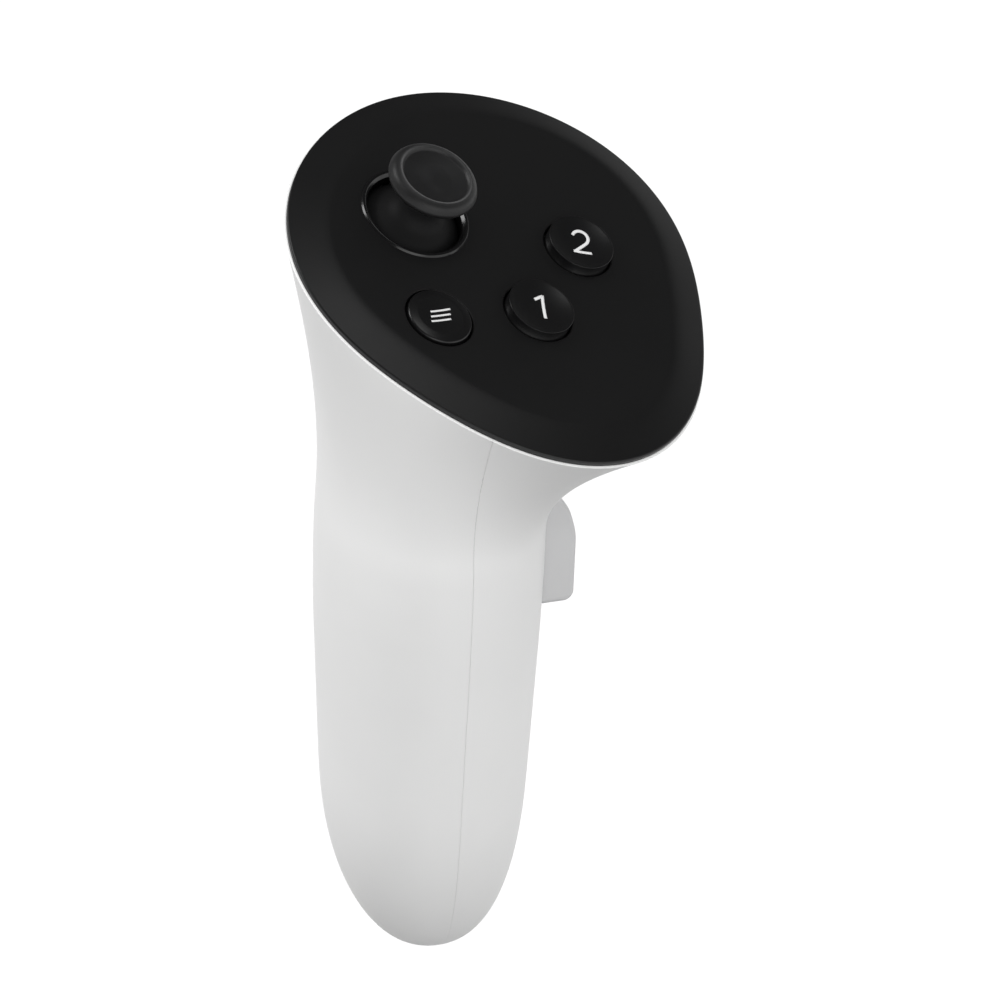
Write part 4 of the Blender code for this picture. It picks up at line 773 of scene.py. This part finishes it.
# %% [markdown]
# ## The marks on the buttons
# Each raised button carries a plain number and the menu button three short bars, printed in pale ink.
# Text would do, but its strokes are too heavy, so each mark is drawn as ribbons. They are laid on the
# dish point by point, so the ink follows the surface and stands a few hundredths of a millimetre proud.


# %% Strokes for numbers and bars
def stroke(bm, path, width):
    """A flat ribbon of this width along the path: a grid of one row, bent to follow it."""
    last = len(path) - 1
    for vert in bmesh.ops.create_grid(bm, x_segments=last, y_segments=1, size=0.5)["verts"]:
        i = round((vert.co.x + 0.5) * last)
        along = (path[min(i + 1, last)] - path[max(i - 1, 0)]).normalized()
        vert.co.xy = path[i] + math.copysign(width / 2, vert.co.y) * Vector((-along.y, along.x))


def straight(start, end, parts=8):
    """Points from start to end, in millimetres given and metres made."""
    return [Vector(start).lerp(Vector(end), i / parts) / 1000 for i in range(parts + 1)]


def bow(centre, radius, start, end, parts=16):
    """Points of an arc, by its angles in degrees, in millimetres given and metres made."""
    angles = [math.radians(start + (end - start) * i / parts) for i in range(parts + 1)]
    return [(Vector(centre) + radius * Vector((math.cos(a), math.sin(a)))) / 1000 for a in angles]


NUMBERS = {
    "1": (
        straight((0.35, -2.2), (0.35, 2.2)),
        straight((0.35, 2.05), (-0.95, 1.25), 4),
    ),
    "2": (
        bow((0, 0.92), 1.25, 165, -38) + straight((0.9, 0.02), (-1.25, -1.95)),
        straight((-1.5, -1.95), (1.45, -1.95)),
    ),
}
INK, NUMBER_WIDTH, BAR_WIDTH = 0.00003, 0.0005, 0.00032
NUMBER_SHIFT = (0.00025, 0.00035, 0)
NUMBER_TURN = Matrix.Rotation(math.radians(-5.5), 3, "Z")
BAR_TURN = Matrix.Rotation(math.radians(13.7), 3, "Z")


def ink_on(bm, surface, spot):
    """Give a flat mark its ink thickness, lay it on the surface's height, and put it on the face."""
    thick = bmesh.ops.extrude_face_region(bm, geom=bm.faces[:])
    top = [g for g in thick["geom"] if isinstance(g, bmesh.types.BMVert)]
    bmesh.ops.translate(bm, verts=top, vec=(0, 0, 2 * INK))
    for vert in bm.verts:
        vert.co.z += surface(vert.co.xy.length) - INK
    bmesh.ops.recalc_face_normals(bm, faces=bm.faces)
    bmesh.ops.transform(bm, matrix=on_face(spot), verts=bm.verts)
    return bm


for text, spot, name in (("2", UPPER, "upper"), ("1", LOWER, "lower")):
    mark = bmesh.new()
    for path in NUMBERS[text]:
        stroke(mark, path, NUMBER_WIDTH)
    bmesh.ops.rotate(mark, verts=mark.verts, matrix=NUMBER_TURN)
    bmesh.ops.translate(mark, verts=mark.verts, vec=NUMBER_SHIFT)
    mark = ink_on(mark, button_height, spot)
    add_piece(f"{name}_number", mark, f"{name}_key", "grey_plastic", finish="legend_ink")

bars = bmesh.new()
for row in (-1, 0, 1):
    bar = straight((0.36 * row - 1.7, 0.88 * row), (0.36 * row + 1.7, 0.88 * row))
    stroke(bars, bar, BAR_WIDTH)
bmesh.ops.rotate(bars, verts=bars.verts, matrix=BAR_TURN)
bars = ink_on(bars, menu_height, MENU)
add_piece("menu_bars", bars, "menu_key", "grey_plastic", finish="legend_ink")

# %% [markdown]
# ## The thumbstick
# A domed skirt fills the well so that no dirt falls in, a stem rises from it, and a rubber cap sits on
# top with a dished thumb rest. Stem and skirt are one turned piece, the cap another. A vertex layer marks
# the crest round the dish, where a pale highlight is painted into the rubber, most of all on the near left.

# %% Turn the stick
PIVOT = -0.0065
SKIRT, SKIRT_IN, SKIRT_REACH = 0.0103, 0.0095, math.radians(54)
CAP_LOW, CAP_HIGH, CAP_RADIUS = 0.0143, 0.0179, 0.0070
SHAFT, SHAFT_FOOT, SKIRT_TOP = 0.0016, -0.0024, 0.0053
NECK_RADIUS, TENON, TENON_TOP = 0.0031, 0.0013, 0.0159
CREST_RADIUS, HIGHLIGHT_WIDTH = 0.00548, 0.0003


def arc(radius, start, end, steps=14):
    """Points of a circle about the pivot, by the angle from the stick's axis."""
    turns = [start + (end - start) * i / steps for i in range(steps + 1)]
    return [(radius * math.sin(a), radius * math.cos(a)) for a in turns]


stem = [(0, SHAFT_FOOT), (SHAFT, SHAFT_FOOT)]
stem += arc(SKIRT_IN, math.asin(SHAFT / SKIRT_IN), SKIRT_REACH)
stem += arc(SKIRT, SKIRT_REACH, math.asin(SKIRT_TOP / SKIRT))
stem += [(0.00465, 0.00918), (0.00410, 0.00960), (0.00370, 0.01012), (0.00338, 0.01070), (0.00318, 0.01130)]
stem += [(NECK_RADIUS, 0.0120), (NECK_RADIUS, CAP_LOW - GAP), (TENON, CAP_LOW - GAP)]
stem += [(TENON, TENON_TOP), (0, TENON_TOP)]
add_piece("stick_stem", turned(stem, on_face(STICK, PIVOT)), "stick", "dark_nylon", "thumbstick_shaft")

cap = rounded([
    (0, TENON_TOP + GAP, 0), (TENON + GAP, TENON_TOP + GAP, 0), (TENON + GAP, CAP_LOW, 0),
    (0.0046, CAP_LOW, 0.0008), (0.0058, CAP_LOW + 0.0005, 0.0016), (0.0068, CAP_LOW + 0.0015, 0.0018),
    (CAP_RADIUS, CAP_LOW + 0.0021, 0.0012), (0.0065, CAP_HIGH - 0.0004, 0.0016),
    (0.0056, CAP_HIGH + 0.0001, 0.0003), (0.0053, CAP_HIGH - 0.0001, 0.0002),
    (0.0050, CAP_HIGH - 0.0005, 0.0004), (0.0026, CAP_HIGH - 0.0008, 0.0060), (0, CAP_HIGH - 0.0009, 0),
])
stick_cap = turned(cap, Matrix.Identity(4))
# Painted highlight: the layer is 1 on the crest and fades off it, strongest on the near left, where the
# light line falls.
crest_highlight = stick_cap.verts.layers.float.new("crest_highlight")
for vert in stick_cap.verts:
    off_crest = abs(vert.co.xy.length - CREST_RADIUS) + max(0.0, CAP_HIGH - 0.0004 - vert.co.z)
    lit_side = min(1.0, max(0.2, 0.6 - 80 * (0.8 * vert.co.y + 0.6 * vert.co.x)))
    vert[crest_highlight] = lit_side * max(0.0, 1 - off_crest / HIGHLIGHT_WIDTH)
bmesh.ops.transform(stick_cap, matrix=on_face(STICK, PIVOT), verts=stick_cap.verts)
add_piece("stick_cap", stick_cap, "stick", "black_rubber", "thumbstick_cap")

# %% [markdown]
# ## The grip lever and the index trigger
# Both are levers with a flat side outline and soft, pillowed edges. A plain extrusion with a bevel would
# look cut from sheet, so the outline is extruded in many thin slices, and each slice is drawn in by a
# little more towards the ends, as a finger-worn moulding is. A hollow in the back of the grip lever
# leaves room for its spring.


# %% Pillowed levers
def drawn_in(outline, inset):
    """The closed outline moved inwards, square to itself."""
    count = len(outline)
    moved = []
    for i, point in enumerate(outline):
        along = (outline[(i + 1) % count] - outline[i - 1]).normalized()
        moved.append(point + inset * Vector((along.y, -along.x)))
    return moved


def pillow(outline, half, edge, place):
    """Extrude the outline in slices across its width; place(a, b, across) gives each point its spot."""
    turns = [math.radians(15 * i) for i in range(7)]
    ends = [(half - edge + edge * math.cos(a), edge * (1 - math.sin(a))) for a in turns]
    slices = ends + [(0, 0)] + [(-across, inset) for across, inset in reversed(ends)]
    bm = bmesh.new()
    first = [bm.verts.new(place(p.x, p.y, slices[0][0])) for p in drawn_in(outline, slices[0][1])]
    face = bm.faces.new(first)
    for across, inset in slices[1:]:
        grown = bmesh.ops.extrude_face_region(bm, geom=[face], use_keep_orig=across == slices[1][0])
        face = next(g for g in grown["geom"] if isinstance(g, bmesh.types.BMFace))
        for vert, point in zip(face.verts, drawn_in(outline, inset)):
            vert.co = place(point.x, point.y, across)
    bmesh.ops.recalc_face_normals(bm, faces=bm.faces)
    return bm


# %% The grip lever
GRIP_PIVOT = (0.0140, 0.0270)
HUB, REACH, LEVER_FOOT, SPRING_AT = 0.0021, 0.0076, -0.0193, -0.0139
GRIP_HALF, GRIP_EDGE = 0.0065, 0.0010
grip_outline = rounded([
    (-HUB, HUB, 0.0019), (0.8 * HUB, HUB, 0.0010), (0.42 * REACH, 0.1 * HUB, 0.0030),
    (0.83 * REACH, 0.20 * LEVER_FOOT, 0.0080), (REACH, 0.42 * LEVER_FOOT, 0.0110),
    (0.985 * REACH, LEVER_FOOT, 0.0017), (-0.0004, LEVER_FOOT, 0.0008),
    (-0.0005, SPRING_AT - 0.0031, 0.0010), (0.0011, SPRING_AT - 0.0025, 0.0006),
    (0.0011, SPRING_AT + 0.0025, 0.0006), (-0.0006, SPRING_AT + 0.0031, 0.0010),
    (-0.0008, 0.30 * LEVER_FOOT, 0.0030), (-HUB, 0.10 * LEVER_FOOT, 0.0010),
], closed=True, steps=10)


def on_grip(x, z, y):
    return GRIP_PIVOT[0] + x, y, GRIP_PIVOT[1] + z


grip = pillow(grip_outline, GRIP_HALF, GRIP_EDGE, on_grip)
add_piece("grip_lever_pad", grip, "grip", "grey_plastic", "grip_lever")

# %% The index trigger
BLADE, BULGE, BLADE_BACK, BLADE_HUB, BLADE_TIP = 0.0280, 0.0084, 0.0030, 0.0023, 0.0024
BLADE_HALF, BLADE_EDGE = 0.0062, 0.0011
TRIGGER = (-0.0060, 0.0196, -0.0050)
blade_outline = rounded([
    (-BLADE_HUB, BLADE_HUB, 0.0021), (BLADE_HUB, BLADE_HUB, 0.0021),
    (0.67 * BULGE, -0.12 * BLADE, 0.0020), (BULGE, -0.29 * BLADE, 0.0025),
    (0.77 * BULGE, -0.56 * BLADE, 0.0090), (0.58 * BULGE, -0.80 * BLADE, 0.0090),
    (0.62 * BULGE, -BLADE, 0.0012), (0.62 * BULGE - BLADE_TIP, -BLADE, 0.0012),
    (0.05 * BULGE, -0.78 * BLADE, 0.0060), (-BLADE_BACK, -0.47 * BLADE, 0.0060),
    (-0.9 * BLADE_BACK, -0.18 * BLADE, 0.0040),
], closed=True)


def on_trigger(v, h, u):
    return FACE @ Vector((TRIGGER[0] + u, TRIGGER[1] + v, TRIGGER[2] + h))


blade = pillow(blade_outline, BLADE_HALF, BLADE_EDGE, on_trigger)
add_piece("index_trigger_blade", blade, "trigger", "white_plastic", "index_trigger")

# %% [markdown]
# ## Studio
# The photograph is a product shot on pure white. The world and the floor show white to the camera. In
# reflections the world is white near the horizon and dark higher up, so that the black plate stays black,
# and its real light on the object is a soft dome at a plain level, so that the white plastic keeps its
# shading. The floor lies below the tip, because the photograph shows no shadow that touches the handle.

# %% The world
class Sky(Finish):
    """The world's nodes, added in the same way as a finish's; place is the direction looked in."""

    def __init__(self, name):
        self.world = bpy.data.worlds.new(name)
        self.world.use_nodes = True
        self.tree = self.world.node_tree
        self.shader = self.tree.nodes["Background"]
        self.place = self.node("TexCoord", {}, {}, "Generated")


def seen_by(made, *rays):
    """1 for these kinds of ray, and 0 for the others."""
    return sum((made.node("LightPath", {}, {}, f"Is {ray} Ray") for ray in rays[1:]),
               made.node("LightPath", {}, {}, f"Is {rays[0]} Ray"))


sky = Sky("studio")
bpy.context.scene.world = sky.world
upward_share = sky.node("SeparateXYZ", {}, {0: sky.place}, "Z")
right_share = sky.node("SeparateXYZ", {}, {0: sky.place}, "X")
dome = 1.34 * sky.step(upward_share, -0.5, 0.35) - 0.34 * sky.step(upward_share, 0.4, 1.0)
sweep = 1 - 0.96 * sky.step(upward_share - 0.16 * sky.step(right_share, 0.4, 0.7), -0.05, 0.22)
direct = seen_by(sky, "Camera")
mirrored = seen_by(sky, "Glossy", "Transmission")
brightness = direct + (1 - direct) * (mirrored * sweep + (1 - mirrored) * dome)
sky.put(sky.shader.inputs["Color"], (1, 1, 1, 1))
sky.put(sky.shader.inputs["Strength"], brightness)

# %% The floor
FLOOR, FLOOR_RADIUS = TIP - 0.025, 6.0
floor_finish = Finish("floor", roughness=0.9, specular_ior_level=0.0, emission_strength=0.85)
lit = seen_by(floor_finish, "Camera", "Glossy", "Transmission")
floor_finish.paint(
    base_color=floor_finish.blend(floor_finish.noise(0.4), (0.16, 0.16, 0.16), (0.15, 0.15, 0.15)),
    emission_color=floor_finish.blend(lit, (0, 0, 0), (1, 1, 1)),
)
floor_bm = bmesh.new()
at_floor = Matrix.Translation((0, 0, FLOOR))
bmesh.ops.create_circle(floor_bm, cap_ends=True, radius=FLOOR_RADIUS, segments=96, matrix=at_floor)
floor_mesh = bpy.data.meshes.new("floor")
floor_bm.to_mesh(floor_mesh)
floor_bm.free()
floor_mesh.materials.append(floor_finish.material)
floor = bpy.data.objects.new("floor", floor_mesh)
bpy.context.scene.collection.objects.link(floor)
print("floor", round(1000 * (TIP - FLOOR)), "mm below the tip")

# %% [markdown]
# ## Lamps
# The sky's dome gives most of the light, as the white walls of a light tent do. One soft lamp overhead lies
# in the mirror direction of the faceplate's left band and makes it shine, and one behind at the left
# lightens the handle's left edge and puts a glint on the well's collar. Two wider ones fill the front and
# the right.


# %% Place the lamps
MIDDLE = Vector((0, 0, 0.02))


def lamp(name, place, size, power):
    """A round area lamp that looks at the middle of the object; size in metres, power in watts."""
    light = bpy.data.lights.new(name, "AREA")
    light.shape, light.size, light.energy = "DISK", size, power
    made = bpy.data.objects.new(name, light)
    made.location = place
    made.rotation_euler = (MIDDLE - Vector(place)).to_track_quat("-Z", "Y").to_euler()
    bpy.context.scene.collection.objects.link(made)


lamp("top", (0.10, -0.28, 1.28), 0.7, 2.0)
lamp("back_left", (-0.73, 0.42, 0.84), 0.45, 3.8)
lamp("front", (-0.10, -1.35, 0.10), 1.2, 5.0)
lamp("right", (1.00, -0.90, 0.00), 0.8, 0.6)

# %% [markdown]
# ## Camera
# The camera stands on the user's side, a little to the left and above, and is rolled by two degrees. A long
# lens keeps the lines nearly parallel, as in the photograph.

# %% The camera
CAMERA_PLACE = (-0.25806, -0.66683, 0.35845)
turn, lift, roll = math.radians(-22), math.radians(25), math.radians(1.9)
backward = Vector((math.sin(turn) * math.cos(lift), -math.cos(turn) * math.cos(lift), math.sin(lift)))
sideways = Vector((math.cos(turn), math.sin(turn), 0))
upward = backward.cross(sideways)
right = sideways * math.cos(roll) + upward * math.sin(roll)
up = upward * math.cos(roll) - sideways * math.sin(roll)
lens = bpy.data.cameras.new("camera")
lens.lens, lens.sensor_width = 190, 36
camera = bpy.data.objects.new("camera", lens)
axes = Matrix((right, up, backward)).transposed().to_4x4()
camera.matrix_world = Matrix.Translation(CAMERA_PLACE) @ axes
bpy.context.scene.collection.objects.link(camera)
bpy.context.scene.camera = camera
bpy.context.scene.view_settings.view_transform = "Standard"
